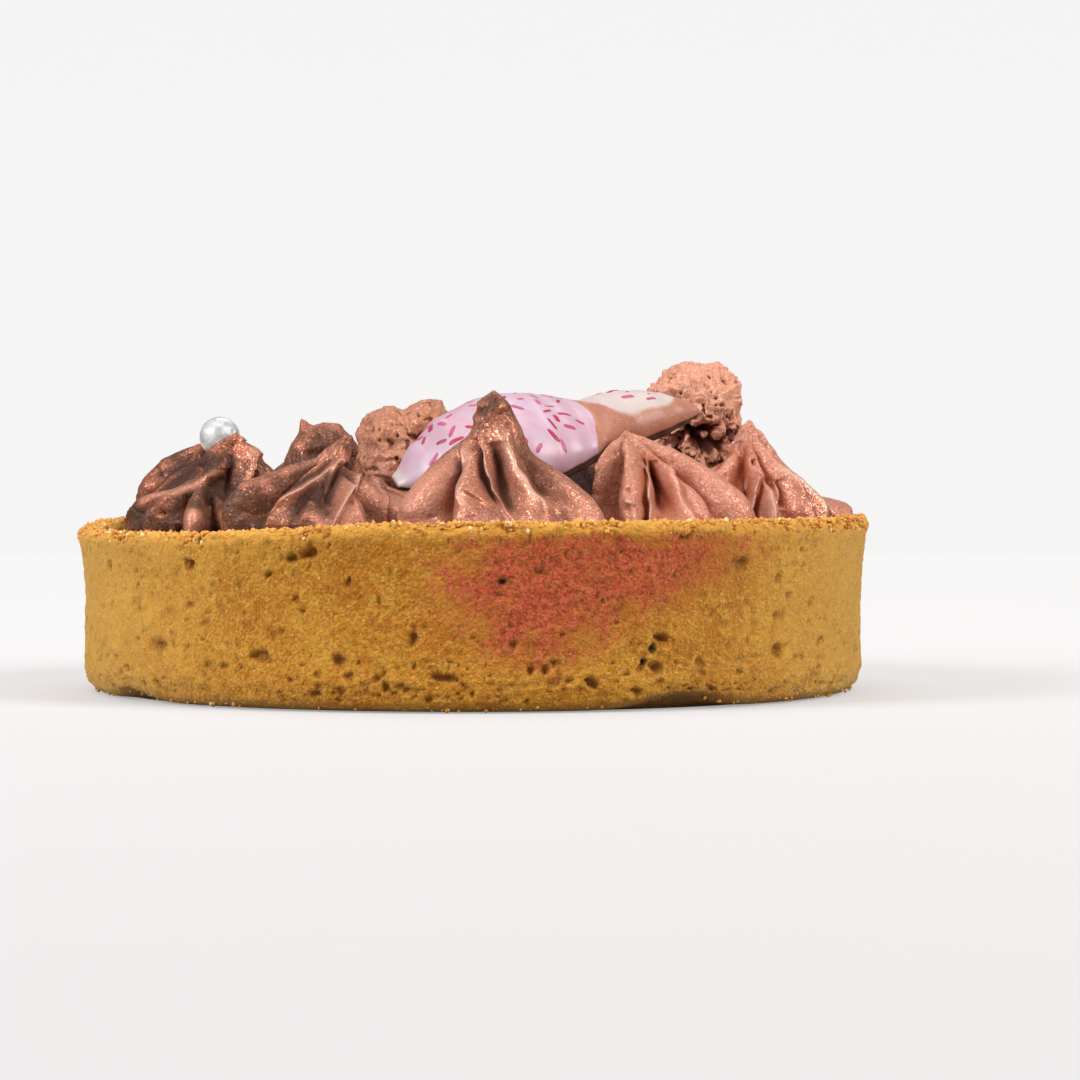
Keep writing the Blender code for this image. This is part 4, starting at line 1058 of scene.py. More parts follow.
def dash_patch(matrix, place, aside, length, width, angle, rows=9, columns=5):
    """A thin painted dash with round ends, laid over the fish: its points and faces."""
    u, v = np.meshgrid(np.linspace(-1.0, 1.0, rows), np.linspace(-1.0, 1.0, columns), indexing="ij")
    narrow = np.sqrt(np.clip(1.0 - np.abs(u) ** 6, 0.02, 1.0))
    x = place + 0.5 * length * u * math.cos(angle) - 0.5 * width * v * narrow * math.sin(angle)
    y = aside + 0.5 * length * u * math.sin(angle) + 0.5 * width * v * narrow * math.cos(angle)
    front, back, edge, dome = fish_sizes(x)
    half, middle = 0.5 * (back + front), 0.5 * (back - front)
    side = np.clip((y - middle) / half, -0.985, 0.985)
    swell = 0.10 * (1.0 - np.maximum(np.abs(u) ** 3, np.abs(v) ** 3)) - 0.02
    height = edge + dome * np.sqrt(1.0 - side**2)
    over = fish_points(matrix, x, side, height + swell)
    under = fish_points(matrix, x, side, height - 0.15)
    count = rows * columns
    faces = []
    for row in range(rows - 1):
        for column in range(columns - 1):
            first = row * columns + column
            loop = [first, first + columns, first + columns + 1, first + 1]
            faces.append(loop)
            faces.append([count + corner for corner in loop[::-1]])
    ring = [column for column in range(columns)]
    ring += [row * columns + columns - 1 for row in range(1, rows)]
    ring += [(rows - 1) * columns + column for column in range(columns - 2, -1, -1)]
    ring += [row * columns for row in range(rows - 2, 0, -1)]
    for here, there in zip(ring, ring[1:] + ring[:1]):
        faces.append([here, there, count + there, count + here])
    return np.concatenate([over.reshape(-1, 3), under.reshape(-1, 3)]), faces


def paint_dashes(matrix, material):
    """Dashes strewn over the pink coat, and round spots on the white tail."""
    draw = random.Random(31)
    spots = []
    while len(spots) < DASHES:
        place, aside = draw.uniform(3.4, 22.6), draw.uniform(-7.0, 7.0)
        front, back, _, _ = fish_sizes(np.array(place))
        if not -0.84 * front < aside < 0.84 * back:
            continue
        if any(math.hypot(place - other[0], aside - other[1]) < 1.35 for other in spots):
            continue
        long, wide, turned = draw.uniform(1.2, 2.3), draw.uniform(0.36, 0.68), draw.uniform(-1.6, 1.6)
        spots.append((place, aside, long, wide, turned))
    spots += [(28.6, -0.7, 1.4, 0.75, 0.1), (30.6, -1.55, 1.1, 0.55, 0.1), (28.1, 2.0, 1.6, 0.8, 0.1),
              (26.8, 3.1, 1.0, 0.6, 0.3), (30.9, -0.5, 0.4, 0.3, 0.4), (29.2, 0.7, 0.4, 0.3, 0.0),
              (32.4, 0.9, 0.8, 0.5, 0.2)]
    points, faces, tones, count = [], [], [], 0
    for spot in spots:
        patch, loops = dash_patch(matrix, *spot)
        faces += [[count + corner for corner in loop] for loop in loops]
        points.append(patch)
        tones.append(np.full(len(patch), draw.random()))
        count += len(patch)
    marks = {"tone": np.concatenate(tones)}
    piece = mesh_piece("painted_dashes", np.concatenate(points), faces, material, marks)
    settle(piece, "pink_chocolate")


def pit_way(pit):
    level = math.cos(math.radians(pit.elevation))
    return np.append(heading(pit.azimuth) * level, math.sin(math.radians(pit.elevation)))


def pit_swing(pit, ways):
    return np.degrees(np.arccos(np.clip(ways @ pit_way(pit), -1.0, 1.0)))


def brittle_body(brittle, ways):
    """Radius of a brittle piece along each direction: its lumps, crags and air holes."""
    radius = np.zeros(len(ways))
    for lump in brittle.lumps:
        radii = np.array(lump.radii)
        stretched = ways / radii
        offset = -np.array(lump.centre) / radii
        a = np.sum(stretched**2, axis=1)
        b = stretched @ offset
        c = offset @ offset - 1.0
        radius += ((-b + np.sqrt(np.maximum(0.0, b * b - a * c))) / a) ** 8
    radius = radius ** (1.0 / 8.0)
    shifted = ways * radius[:, None] * brittle.grain + np.array([brittle.seed, 0.0, 0.0])
    radius += brittle.roughness * np.array([noise.fractal(Vector(point), 0.9, 2.1, 3) for point in shifted])
    for pit in brittle.pits:
        radius -= pit.depth * np.exp(-((pit_swing(pit, ways) / pit.width) ** 2))
    return radius


def chipped(brittle, ways, radius):
    """The radius with flat faces broken off it all round."""
    draw = random.Random(int(10 * brittle.seed))
    for _ in range(CHIPS):
        face = np.array([draw.gauss(0.0, 1.0) for _ in range(3)])
        pace = ways @ (face / np.linalg.norm(face))
        limit = np.max(pace * radius) - brittle.chips * draw.uniform(0.5, 1.0)
        radius = np.where(pace > 0.05, np.minimum(radius, limit / np.maximum(pace, 0.05)), radius)
    return radius


def break_brittle(brittle, material):
    work = bmesh.new()
    bmesh.ops.create_icosphere(work, subdivisions=brittle.divisions, radius=1.0)
    ways = np.array([vertex.co.normalized() for vertex in work.verts])
    faces = [[vertex.index for vertex in face.verts] for face in work.faces]
    work.free()
    radius = chipped(brittle, ways, brittle_body(brittle, ways))
    places = ways * radius[:, None]
    seed = int(10 * brittle.seed)
    crag = 0.45 - np.abs(value_noise(places / 2.6, seed))
    lumpy = np.abs(value_noise(places / 1.1, seed + 1)) - 0.35
    lumpy += 0.5 * np.abs(value_noise(places / 0.55, seed + 2))
    radius += brittle.crags * (crag + 0.7 * lumpy) + 0.07 * rough(places, 0.45, seed + 4, 2)
    low = smooth_step(brittle.holed_below + 1.2, brittle.holed_below - 1.2, places[:, 2])
    bubbled = value_noise(places / 1.35 + 3.7, seed + 12) + 0.45 * value_noise(places / 0.7, seed + 13)
    cave = smooth_step(0.04, 0.32, bubbled)
    pocks = smooth_step(0.40, 0.60, value_noise(places / 0.7, seed + 14))
    holes = np.zeros(len(ways))
    for hole in brittle.holes:
        holes += hole.depth * smooth_step(1.25, 0.75, pit_swing(hole, ways) / hole.width + 0.5 * crag)
    radius -= brittle.caves * low * cave + 0.34 * pocks + holes
    # Painted shade: the holes, pocks, caves, hollows between the crags and the low underside are darkened
    shade = low * (0.32 + cave) + 0.6 * pocks + 0.8 * holes + 0.45 * smooth_step(0.0, -0.3, lumpy)
    shade = np.clip(shade, 0.0, 1.0)
    points = ways * np.maximum(radius, 1.0)[:, None] + np.array(brittle.centre)
    marks = {"pit": shade, "thick": np.full(len(ways), brittle.thick)}
    piece = mesh_piece("broken_" + brittle.name, points, faces, material, marks)
    settle(piece, "copper_brittle", brittle.name)


def set_pearl(toppings, material):
    """The silver pearl, a little dented where it touched others in its jar."""
    work = bmesh.new()
    bmesh.ops.create_icosphere(work, subdivisions=5, radius=1.0)
    ways = np.array([vertex.co.normalized() for vertex in work.verts])
    faces = [[vertex.index for vertex in face.verts] for face in work.faces]
    work.free()
    radius = toppings.pearl_radius / MM + 0.035 * rough(ways, 0.55, 81, 2)
    for pit in [Pit(52, 14, 7, 0.14), Pit(-40, 50, 16, 0.06), Pit(170, -10, 9, 0.12), Pit(30, 40, 4, 0.1)]:
        radius -= pit.depth * np.exp(-((pit_swing(pit, ways) / pit.width) ** 2))
    worn = smooth_step(0.15, 0.6, rough(ways, 0.4, 85, 3))
    points = ways * radius[:, None] + np.array(PEARL_PLACE)
    piece = mesh_piece("sugar_pearl", points, faces, material, {"worn": worn})
    settle(piece, "silver_pearl", "silver_pearl")


# Finishes


class Recipe:
    """Adds nodes to a material or a node group and links them."""

    def __init__(self, tree):
        self.tree = tree

    def node(self, kind, inputs=None, **settings):
        made = self.tree.nodes.new("ShaderNode" + kind)
        for name, value in settings.items():
            setattr(made, name, value)
        for socket, value in (inputs or {}).items():
            self.feed(made.inputs[socket], value)
        return made

    def feed(self, socket, value):
        if isinstance(value, bpy.types.NodeSocket):
            self.tree.links.new(value, socket)
        else:
            socket.default_value = value

    def speckle(self, place, scale, detail=3.0, roughness=0.55):
        inputs = {"Vector": place, "Scale": scale, "Detail": detail, "Roughness": roughness}
        return self.node("TexNoise", inputs).outputs["Fac"]

    def flakes(self, place, scale):
        """A random value for each cell of about 1 / scale metres."""
        cells = self.node("TexVoronoi", {"Vector": place, "Scale": scale})
        return self.node("SeparateColor", {"Color": cells.outputs["Color"]}).outputs["Red"]

    def window(self, value, low, high, start=0.0, end=1.0):
        """The value eased from low to high into start to end."""
        inputs = {"Value": value, "From Min": low, "From Max": high, "To Min": start, "To Max": end}
        return self.node("MapRange", inputs, interpolation_type="SMOOTHSTEP").outputs["Result"]

    def sum(self, operation, first, second):
        return self.node("Math", {0: first, 1: second}, operation=operation, use_clamp=False).outputs[0]

    def blend(self, share, first, second, blend_type="MIX"):
        made = self.node("Mix", data_type="RGBA", blend_type=blend_type)
        self.feed(made.inputs[0], share)
        self.feed(made.inputs[6], first)
        self.feed(made.inputs[7], second)
        return made.outputs[2]

    def mark(self, name):
        return self.node("Attribute", attribute_name=name).outputs["Fac"]

    def place(self):
        return self.node("TexCoord").outputs["Object"]

    def group(self, tree, inputs):
        made = self.node("Group")
        made.node_tree = tree
        for name, value in inputs.items():
            self.feed(made.inputs[name], value)
        return made.outputs


def new_group(name, inputs, outputs):
    tree = bpy.data.node_groups.new(name, "ShaderNodeTree")
    for socket, kind, value in inputs:
        made = tree.interface.new_socket(socket, in_out="INPUT", socket_type="NodeSocket" + kind)
        if value is not None:
            made.default_value = value
    for socket, kind in outputs:
        tree.interface.new_socket(socket, in_out="OUTPUT", socket_type="NodeSocket" + kind)
    return Recipe(tree), tree.nodes.new("NodeGroupInput").outputs, tree.nodes.new("NodeGroupOutput").inputs


def lustre_group():
    """Copper lustre brushed over food: its colour, where it lies, how rough it is and its grain."""
    inputs = [("Place", "Vector", None), ("Bare", "Color", (0.1, 0.05, 0.03, 1.0)),
              ("Lustre", "Color", (0.6, 0.3, 0.2, 1.0)), ("Glint", "Color", (1.0, 0.62, 0.46, 1.0)),
              ("Cover", "Float", 0.5)]
    outputs = [("Color", "Color"), ("Mask", "Float"), ("Roughness", "Float"), ("Height", "Float")]
    recipe, given, out = new_group("copper_lustre", inputs, outputs)
    patches = recipe.speckle(given["Place"], 420.0, 4.0, 0.6)
    grain = recipe.speckle(given["Place"], 3000.0, 2.0, 0.6)
    flakes = recipe.flakes(given["Place"], 5200.0)
    mixed = recipe.sum("ADD", recipe.sum("MULTIPLY", patches, 0.5), recipe.sum("MULTIPLY", grain, 0.5))
    edge = recipe.sum("SUBTRACT", 1.0, given["Cover"])
    mask = recipe.window(recipe.sum("SUBTRACT", mixed, recipe.sum("MULTIPLY", edge, 0.62)), 0.08, 0.30)
    recipe.feed(out["Mask"], mask)
    tint = recipe.blend(recipe.window(flakes, 0.80, 0.96, 0.0, 0.8), given["Lustre"], given["Glint"])
    dulled = recipe.blend(recipe.window(flakes, 0.20, 0.02, 0.0, 0.35), tint, given["Bare"])
    recipe.feed(out["Color"], recipe.blend(mask, given["Bare"], dulled))
    recipe.feed(out["Roughness"], recipe.window(flakes, 0.2, 0.9, 0.50, 0.28))
    rise = recipe.sum("ADD", recipe.sum("MULTIPLY", grain, 0.7), recipe.sum("MULTIPLY", flakes, 0.3))
    recipe.feed(out["Height"], rise)
    return recipe.tree


def crumb_group():
    """The fine crumb of baked shortcrust: its colour and its height."""
    inputs = [("Place", "Vector", None), ("Light", "Color", (0.6, 0.35, 0.1, 1.0)),
              ("Dark", "Color", (0.4, 0.15, 0.03, 1.0))]
    outputs = [("Color", "Color"), ("Height", "Float")]
    recipe, given, out = new_group("baked_crumb", inputs, outputs)
    clouds = recipe.speckle(given["Place"], 130.0, 3.0, 0.55)
    flecks = recipe.speckle(given["Place"], 700.0, 3.0, 0.6)
    grit = recipe.speckle(given["Place"], 2900.0, 2.0, 0.65)
    grains = recipe.flakes(given["Place"], 3600.0)
    sugar = recipe.flakes(given["Place"], 5200.0)
    tone = recipe.sum("ADD", recipe.sum("MULTIPLY", clouds, 0.45), recipe.sum("MULTIPLY", flecks, 0.35))
    tone = recipe.sum("ADD", tone, recipe.sum("MULTIPLY", grains, 0.20))
    base = recipe.blend(recipe.window(tone, 0.37, 0.63), given["Dark"], given["Light"])
    deeper = recipe.blend(0.45, given["Dark"], TOASTED_CRUMB)
    toasted = recipe.blend(recipe.window(grit, 0.56, 0.72, 0.0, 0.6), base, deeper)
    sugared = recipe.blend(recipe.window(grit, 0.42, 0.28, 0.0, 0.35), toasted, PALE_GRIT)
    sparkling = recipe.blend(recipe.window(sugar, 0.98, 0.99, 0.0, 0.3), sugared, SUGAR_GRAIN)
    recipe.feed(out["Color"], sparkling)
    rise = recipe.sum("ADD", recipe.sum("MULTIPLY", flecks, 0.5), recipe.sum("MULTIPLY", grit, 0.35))
    recipe.feed(out["Height"], recipe.sum("ADD", rise, recipe.sum("MULTIPLY", grains, 0.15)))
    return recipe.tree


def new_finish(name):
    material = bpy.data.materials.new(name)
    material.use_nodes = True
    recipe = Recipe(material.node_tree)
    return material, recipe, material.node_tree.nodes["Principled BSDF"].inputs


def raise_relief(recipe, shader, height, distance, strength):
    bump = recipe.node("Bump", {"Height": height, "Distance": distance, "Strength": strength})
    recipe.feed(shader["Normal"], bump.outputs["Normal"])


def crust_finish(case, crumb):
    material, recipe, shader = new_finish("golden_crust")
    place = recipe.place()
    light, dark = (*case.crust_light, 1.0), (*case.crust_dark, 1.0)
    baked = recipe.group(crumb, {"Place": place, "Light": light, "Dark": dark})
    # Painted light: the wall is lightened towards its left and right sides
    aside = recipe.sum("ABSOLUTE", recipe.node("SeparateXYZ", {0: place}).outputs["X"], 0.0)
    colour = recipe.blend(recipe.window(aside, 0.022, 0.047, 0.0, 0.5), baked["Color"], PAINTED_SIDE_LIGHT)
    crown = recipe.window(recipe.mark("crown"), 0.1, 0.9, 0.0, 0.7)
    colour = recipe.blend(crown, colour, (*case.rim_colour, 1.0))
    dust = recipe.mark("dust")
    clouds = recipe.speckle(place, 330.0, 4.0, 0.6)
    powder = recipe.sum("ADD", recipe.speckle(place, 2400.0, 3.0, 0.7), clouds)
    thick = recipe.sum("ADD", dust, recipe.window(powder, 0.7, 1.3, -0.5, 0.5))
    within = recipe.window(dust, 0.02, 0.2, 0.0, 0.94)
    dusted = recipe.sum("MULTIPLY", recipe.window(thick, 0.14, 0.88), within)
    colour = recipe.blend(recipe.window(dust, 0.02, 0.6, 0.0, 0.72), colour, WARM_UNDER_LUSTRE)
    reds = recipe.blend(recipe.flakes(place, 4200.0), (*case.dust_colour, 1.0), ROSY_LUSTRE)
    burnt_red = recipe.window(recipe.speckle(place, 2100.0), 0.48, 0.62, 0.0, 0.75)
    reds = recipe.blend(burnt_red, reds, RED_GRAIN)
    bare_grains = recipe.window(recipe.flakes(place, 3000.0), 0.84, 0.90, 0.0, 0.4)
    reds = recipe.blend(bare_grains, reds, baked["Color"])
    colour = recipe.blend(dusted, colour, reds)
    colour = recipe.blend(recipe.sum("MULTIPLY", recipe.mark("pore"), 0.7), colour, PORE_SHADE)
    colour = recipe.blend(recipe.mark("burnt"), colour, BURNT_FLECK)
    recipe.feed(shader["Base Color"], colour)
    recipe.feed(shader["Metallic"], recipe.sum("MULTIPLY", dusted, 0.15))
    recipe.feed(shader["Roughness"], recipe.window(baked["Height"], 0.3, 0.7, 0.85, 0.62))
    shader["Specular IOR Level"].default_value = 0.18
    shader["Sheen Weight"].default_value = 0.30
    shader["Sheen Roughness"].default_value = 0.4
    shader["Sheen Tint"].default_value = (1.0, 0.84, 0.50, 1.0)
    raise_relief(recipe, shader, baked["Height"], 0.0009, 1.0)
    return material


def crumb_finish(case, crumb):
    material, recipe, shader = new_finish("sugared_crumbs")
    light, dark = (*case.rim_colour, 1.0), (*case.crust_dark, 1.0)
    baked = recipe.group(crumb, {"Place": recipe.place(), "Light": light, "Dark": dark})
    tone = recipe.mark("tone")
    golden = recipe.blend(recipe.window(tone, 0.3, 0.8, 0.0, 0.8), baked["Color"], (*case.rim_colour, 1.0))
    colour = recipe.blend(recipe.window(tone, 0.90, 0.95, 0.0, 0.8), golden, PALE_CRUMB)
    recipe.feed(shader["Base Color"], colour)
    recipe.feed(shader["Roughness"], recipe.window(baked["Height"], 0.3, 0.7, 0.7, 0.45))
    shader["Subsurface Weight"].default_value = 0.1
    shader["Subsurface Scale"].default_value = 0.0005
    raise_relief(recipe, shader, baked["Height"], 0.0001, 0.4)
    return material


def cream_finish(cream, lustre):
    material, recipe, shader = new_finish("copper_dusted_cream")
    place = recipe.place()
    hollow, crest, dusted = recipe.mark("hollow"), recipe.mark("crest"), recipe.mark("dusted")
    lit = recipe.blend(dusted, (*cream.lustre_left, 1.0), (*cream.lustre_right, 1.0))
    bare = recipe.blend(dusted, (*cream.bare_colour, 1.0), WARM_CREAM)
    broad = recipe.window(recipe.speckle(place, 170.0, 3.0), 0.35, 0.65, -0.18, 0.16)
    raised = recipe.sum("ADD", broad, recipe.sum("MULTIPLY", crest, 0.35))
    cover = recipe.sum("ADD", recipe.window(dusted, 0.0, 1.0, 0.50, 0.86), raised)
    glint = recipe.blend(dusted, LEFT_GLINT, RIGHT_GLINT)
    strewn = {"Place": place, "Bare": bare, "Lustre": lit, "Glint": glint, "Cover": cover}
    dusting = recipe.group(lustre, strewn)
    # Painted shade: hollows, grooves, pressed places and the cream under the fish darken towards the hollow
    # shade, less where more lustre lies
    deepest_shade = recipe.window(recipe.sum("SUBTRACT", hollow, recipe.sum("MULTIPLY", dusted, 0.2)), 0.10, 0.75)
    painted_shade = recipe.sum("MULTIPLY", deepest_shade, 0.93)
    deep = recipe.blend(recipe.window(dusted, 0.5, 0.95), LEFT_HOLLOW_SHADE, RIGHT_HOLLOW_SHADE)
    # Painted highlight: the crests of the strokes are lightened towards the crest highlight
    crest_highlight_colour = recipe.blend(dusted, glint, CREST_HIGHLIGHT)
    crest_highlighted = recipe.blend(recipe.window(crest, 0.40, 1.0, 0.0, 0.62), dusting["Color"], crest_highlight_colour)
    recipe.feed(shader["Base Color"], recipe.blend(painted_shade, crest_highlighted, deep))
    shine = recipe.sum("MULTIPLY", dusting["Mask"], recipe.window(hollow, 0.2, 0.9, 0.56, 0.05))
    recipe.feed(shader["Metallic"], recipe.sum("MULTIPLY", shine, recipe.window(dusted, 0.6, 1.0, 1.0, 0.60)))
    duller = recipe.sum("ADD", dusting["Roughness"], recipe.window(dusted, 0.6, 1.0, 0.0, 0.12))
    recipe.feed(shader["Roughness"], recipe.sum("ADD", duller, recipe.window(hollow, 0.3, 1.0, 0.0, 0.25)))
    shader["Specular IOR Level"].default_value = 0.28
    raise_relief(recipe, shader, dusting["Height"], 0.0002, 0.85)
    return material


def brittle_finish(toppings, lustre):
    material, recipe, shader = new_finish("copper_dusted_brittle")
    place = recipe.place()
    pit, thick = recipe.mark("pit"), recipe.mark("thick")
    clouds = recipe.sum("SUBTRACT", recipe.speckle(place, 260.0, 3.0), recipe.sum("MULTIPLY", thick, 0.07))
    ochre = recipe.window(clouds, 0.50, 0.62, 0.0, 0.60)
    bare = recipe.blend(ochre, BRITTLE_BROWN, BRITTLE_OCHRE)
    lit = recipe.blend(thick, THIN_LUSTRE, (*toppings.brittle_colour, 1.0))
    tinted = recipe.blend(recipe.sum("MULTIPLY", ochre, 0.55), lit, OCHRE_LUSTRE)
    cover = recipe.window(pit, 0.1, 0.8, 0.86, 0.15)
    glint = recipe.blend(0.5, tinted, BRITTLE_GLINT)
    strewn = {"Place": place, "Bare": bare, "Lustre": tinted, "Glint": glint, "Cover": cover}
    dusting = recipe.group(lustre, strewn)
    # Painted shade in the holes and underside of the brittle
    painted_shade = recipe.window(pit, 0.2, 0.9, 0.0, 0.92)
    recipe.feed(shader["Base Color"], recipe.blend(painted_shade, dusting["Color"], BRITTLE_HOLE_SHADE))
    recipe.feed(shader["Metallic"], recipe.sum("MULTIPLY", dusting["Mask"], 0.2))
    recipe.feed(shader["Roughness"], recipe.sum("ADD", dusting["Roughness"], 0.18))
    shader["Specular IOR Level"].default_value = 0.3
    raise_relief(recipe, shader, dusting["Height"], 0.0002, 0.6)
    return material


def filling_finish(lustre):
    material, recipe, shader = new_finish("praline_filling")
    place = recipe.place()
    dusting = recipe.group(lustre, {"Place": place, "Bare": BARE_FILLING,
                                    "Lustre": FILLING_LUSTRE, "Cover": 0.4})
    recipe.feed(shader["Base Color"], dusting["Color"])
    recipe.feed(shader["Metallic"], recipe.sum("MULTIPLY", dusting["Mask"], 0.3))
    recipe.feed(shader["Roughness"], dusting["Roughness"])
    raise_relief(recipe, shader, dusting["Height"], 0.00015, 0.4)
    return material


def coat_finish(toppings, lustre):
    """Pink coat over the body, white over the nose and the back of the tail, bare chocolate elsewhere."""
    material, recipe, shader = new_finish("coated_chocolate")
    place = recipe.place()
    along, across, above = recipe.mark("along"), recipe.mark("across"), recipe.mark("above")
    soft = recipe.window(recipe.speckle(place, 260.0, 2.0), 0.3, 0.7, -0.12, 0.12)
    bowed = recipe.sum("MULTIPLY", recipe.sum("MULTIPLY", across, across), 1.4)
    run = recipe.sum("ADD", recipe.sum("ADD", along, bowed), soft)
    clouds = recipe.window(recipe.speckle(place, 190.0, 3.0), 0.35, 0.68)
    pink = recipe.blend(clouds, (*toppings.pink_colour, 1.0), PALE_PINK)
    pale = recipe.blend(recipe.window(along, 0.5, 1.3), (*toppings.white_colour, 1.0), pink)
    brown_place = recipe.group(lustre, {"Place": place, "Bare": CHOCOLATE,
                                        "Lustre": CHOCOLATE_LUSTRE, "Glint": CHOCOLATE_GLINT,
                                        "Cover": 0.8})
    rising = recipe.window(along, WHITE_START, WHITE_START + 3.8, -0.45, 0.68)
    falling = recipe.window(along, 31.0, FISH_SPINE + 1.5, 0.0, -0.95)
    falling = recipe.sum("ADD", falling, recipe.sum("MULTIPLY", soft, 0.35))
    tail_edge = recipe.sum("ADD", recipe.sum("ADD", across, rising), falling)
    inside = recipe.window(tail_edge, -0.05, 0.12)
    whitened = recipe.sum("MULTIPLY", inside, recipe.window(run, WHITE_START + 0.9, WHITE_START + 1.4))
    coated = recipe.blend(recipe.window(run, PINK_END, PINK_END + 0.25), pale, brown_place["Color"])
    coated = recipe.blend(whitened, coated, (*toppings.white_colour, 1.0))
    bare = recipe.window(above, 0.74, 0.66)
    recipe.feed(shader["Base Color"], recipe.blend(bare, coated, CHOCOLATE_BASE))
    uncoated = recipe.sum("MAXIMUM", bare, recipe.window(run, PINK_END, PINK_END + 0.25))
    recipe.feed(shader["Roughness"], recipe.window(uncoated, 0.0, 1.0, 0.36, 0.46))
    shader["Subsurface Weight"].default_value = 0.12
    shader["Subsurface Scale"].default_value = 0.0012
    raise_relief(recipe, shader, brown_place["Height"], 0.00004, 0.25)
    return material


def dash_finish(toppings):
    material, recipe, shader = new_finish("crimson_dashes")
    tone = recipe.window(recipe.mark("tone"), 0.3, 1.0, 0.0, 0.7)
    recipe.feed(shader["Base Color"], recipe.blend(tone, (*toppings.dash_colour, 1.0), PALE_DASH))
    mottled = recipe.speckle(recipe.place(), 900.0)
    recipe.feed(shader["Roughness"], recipe.window(mottled, 0.3, 0.7, 0.35, 0.5))
    return material


def pearl_finish(toppings):
    material, recipe, shader = new_finish("silver_sugar")
    place = recipe.place()
    worn = recipe.mark("worn")
    streaks = recipe.window(recipe.speckle(place, 800.0, 4.0, 0.65), 0.44, 0.62)
    silver = recipe.blend(streaks, (*toppings.silver_colour, 1.0), GREY_STREAK)
    colour = recipe.blend(recipe.sum("MULTIPLY", worn, 0.6), silver, WORN_SUGAR)
    recipe.feed(shader["Base Color"], colour)
    recipe.feed(shader["Metallic"], recipe.window(worn, 0.0, 1.0, 0.45, 0.1))
    recipe.feed(shader["Roughness"], recipe.window(streaks, 0.0, 1.0, 0.40, 0.52))
    raise_relief(recipe, shader, recipe.speckle(place, 1600.0, 3.0), 0.00015, 0.5)
    return material


# Stage


def lay_floor(stage):
    """A pale dish round the tart: a flat floor that turns up smoothly far behind it, on every side."""
    rows = [(0.01, 0.0)] + [(stage.floor_radius * step / 12.0, 0.0) for step in range(1, 13)]
    bend = stage.wall_height
    for step in range(1, 17):
        angle = 0.5 * math.pi * step / 16.0
        rows.append((stage.floor_radius + bend * math.sin(angle), bend * (1.0 - math.cos(angle))))
    count = 96
    azimuth = np.linspace(0.0, 360.0, count, endpoint=False)
    rings = [np.column_stack([heading(azimuth) * radius, np.full(count, height)]) for radius, height in rows]
    grid = np.array(rings)
    index = np.arange(grid.shape[0] * count).reshape(-1, count)
    after = np.roll(index, -1, axis=1)
    quads = np.stack([index[:-1], index[1:], after[1:], after[:-1]], axis=-1).reshape(-1, 4).tolist()
    material, recipe, shader = new_finish("pale_paper")
    place = recipe.place()
    tint = recipe.blend(recipe.speckle(place, 40.0), PAPER, PALER_PAPER)
    recipe.feed(shader["Base Color"], tint)
    shader["Roughness"].default_value = 0.9
    shader["Specular IOR Level"].default_value = 0.1
    # Painted light: the paper glows to the camera alone, more behind the tart and far out, which also
    # lightens the tart's shadow on it
    away = recipe.node("VectorMath", {0: place}, operation="LENGTH").outputs["Value"]
    behind = recipe.node("SeparateXYZ", {0: place}).outputs["Y"]
    rising = recipe.sum("ADD", recipe.window(behind, -0.30, 0.35, stage.near_glow, 0.76 * stage.far_glow),
                        recipe.window(behind, 0.20, 0.80, 0.0, 0.24 * stage.far_glow))
    outer = recipe.window(away, 0.3, 0.95 * stage.floor_radius, 0.0, stage.far_glow)
    glow = recipe.sum("MAXIMUM", rising, outer)
    seen = recipe.node("LightPath").outputs["Is Camera Ray"]
    shader["Emission Color"].default_value = (1.0, 0.995, 0.992, 1.0)
    recipe.feed(shader["Emission Strength"], recipe.sum("MULTIPLY", glow, seen))
    floor = mesh_piece("paper_floor", grid / MM, quads + [index[0].tolist()], material)


def hang_light(name, place, target, size, power, colour):
    lamp = bpy.data.lights.new(name, "AREA")
    lamp.shape = "RECTANGLE"
    lamp.size, lamp.size_y = size
    lamp.energy = power
    lamp.color = colour
    light = bpy.data.objects.new(name, lamp)
    light.location = place
    light.rotation_euler = (Vector(target) - Vector(place)).to_track_quat("-Z", "Y").to_euler()
    bpy.context.scene.collection.objects.link(light)


def set_stage(stage):
    scene = bpy.context.scene
    lay_floor(stage)
    middle = (0.0, 0.0, 0.015)
    hang_light("key_softbox", (0.50, -0.31, 0.42), middle, (0.3, 0.3), stage.key_power, (1.0, 0.99, 0.975))
    hang_light("left_softbox", (-0.54, -0.31, 0.36), middle, (0.3, 0.3), stage.fill_power, (0.97, 0.985, 1.0))
    hang_light("top_softbox", (-0.05, 0.10, 0.85), middle, (0.7, 0.6), stage.top_power, (1.0, 1.0, 1.0))
    world = bpy.data.worlds.new("studio_air")
    world.use_nodes = True
    world.node_tree.nodes["Background"].inputs["Color"].default_value = (1.0, 1.0, 1.0, 1.0)
    world.node_tree.nodes["Background"].inputs["Strength"].default_value = stage.air_strength
    scene.world = world
    scene.view_settings.view_transform = "Standard"

    lens = bpy.data.cameras.new("tart_camera")
    lens.lens = stage.lens
    lens.sensor_width = 36.0
    lens.clip_start = 0.01
    camera = bpy.data.objects.new("tart_camera", lens)
    camera.location = stage.camera_place
    camera.rotation_euler = (math.radians(90.0) - stage.camera_dip, 0.0, 0.0)
    scene.collection.objects.link(camera)
    scene.camera = camera


# Settings


def length(name, description, default):
    return bpy.props.FloatProperty(
        name=name, description=description, default=default, unit="LENGTH", precision=5)


def share(name, description, default):
    return bpy.props.FloatProperty(name=name, description=description, default=default, min=0.0)


def colour(name, description, default):
    return bpy.props.FloatVectorProperty(
        name=name, description=description, default=default, subtype="COLOR", size=3, min=0.0, max=1.0)


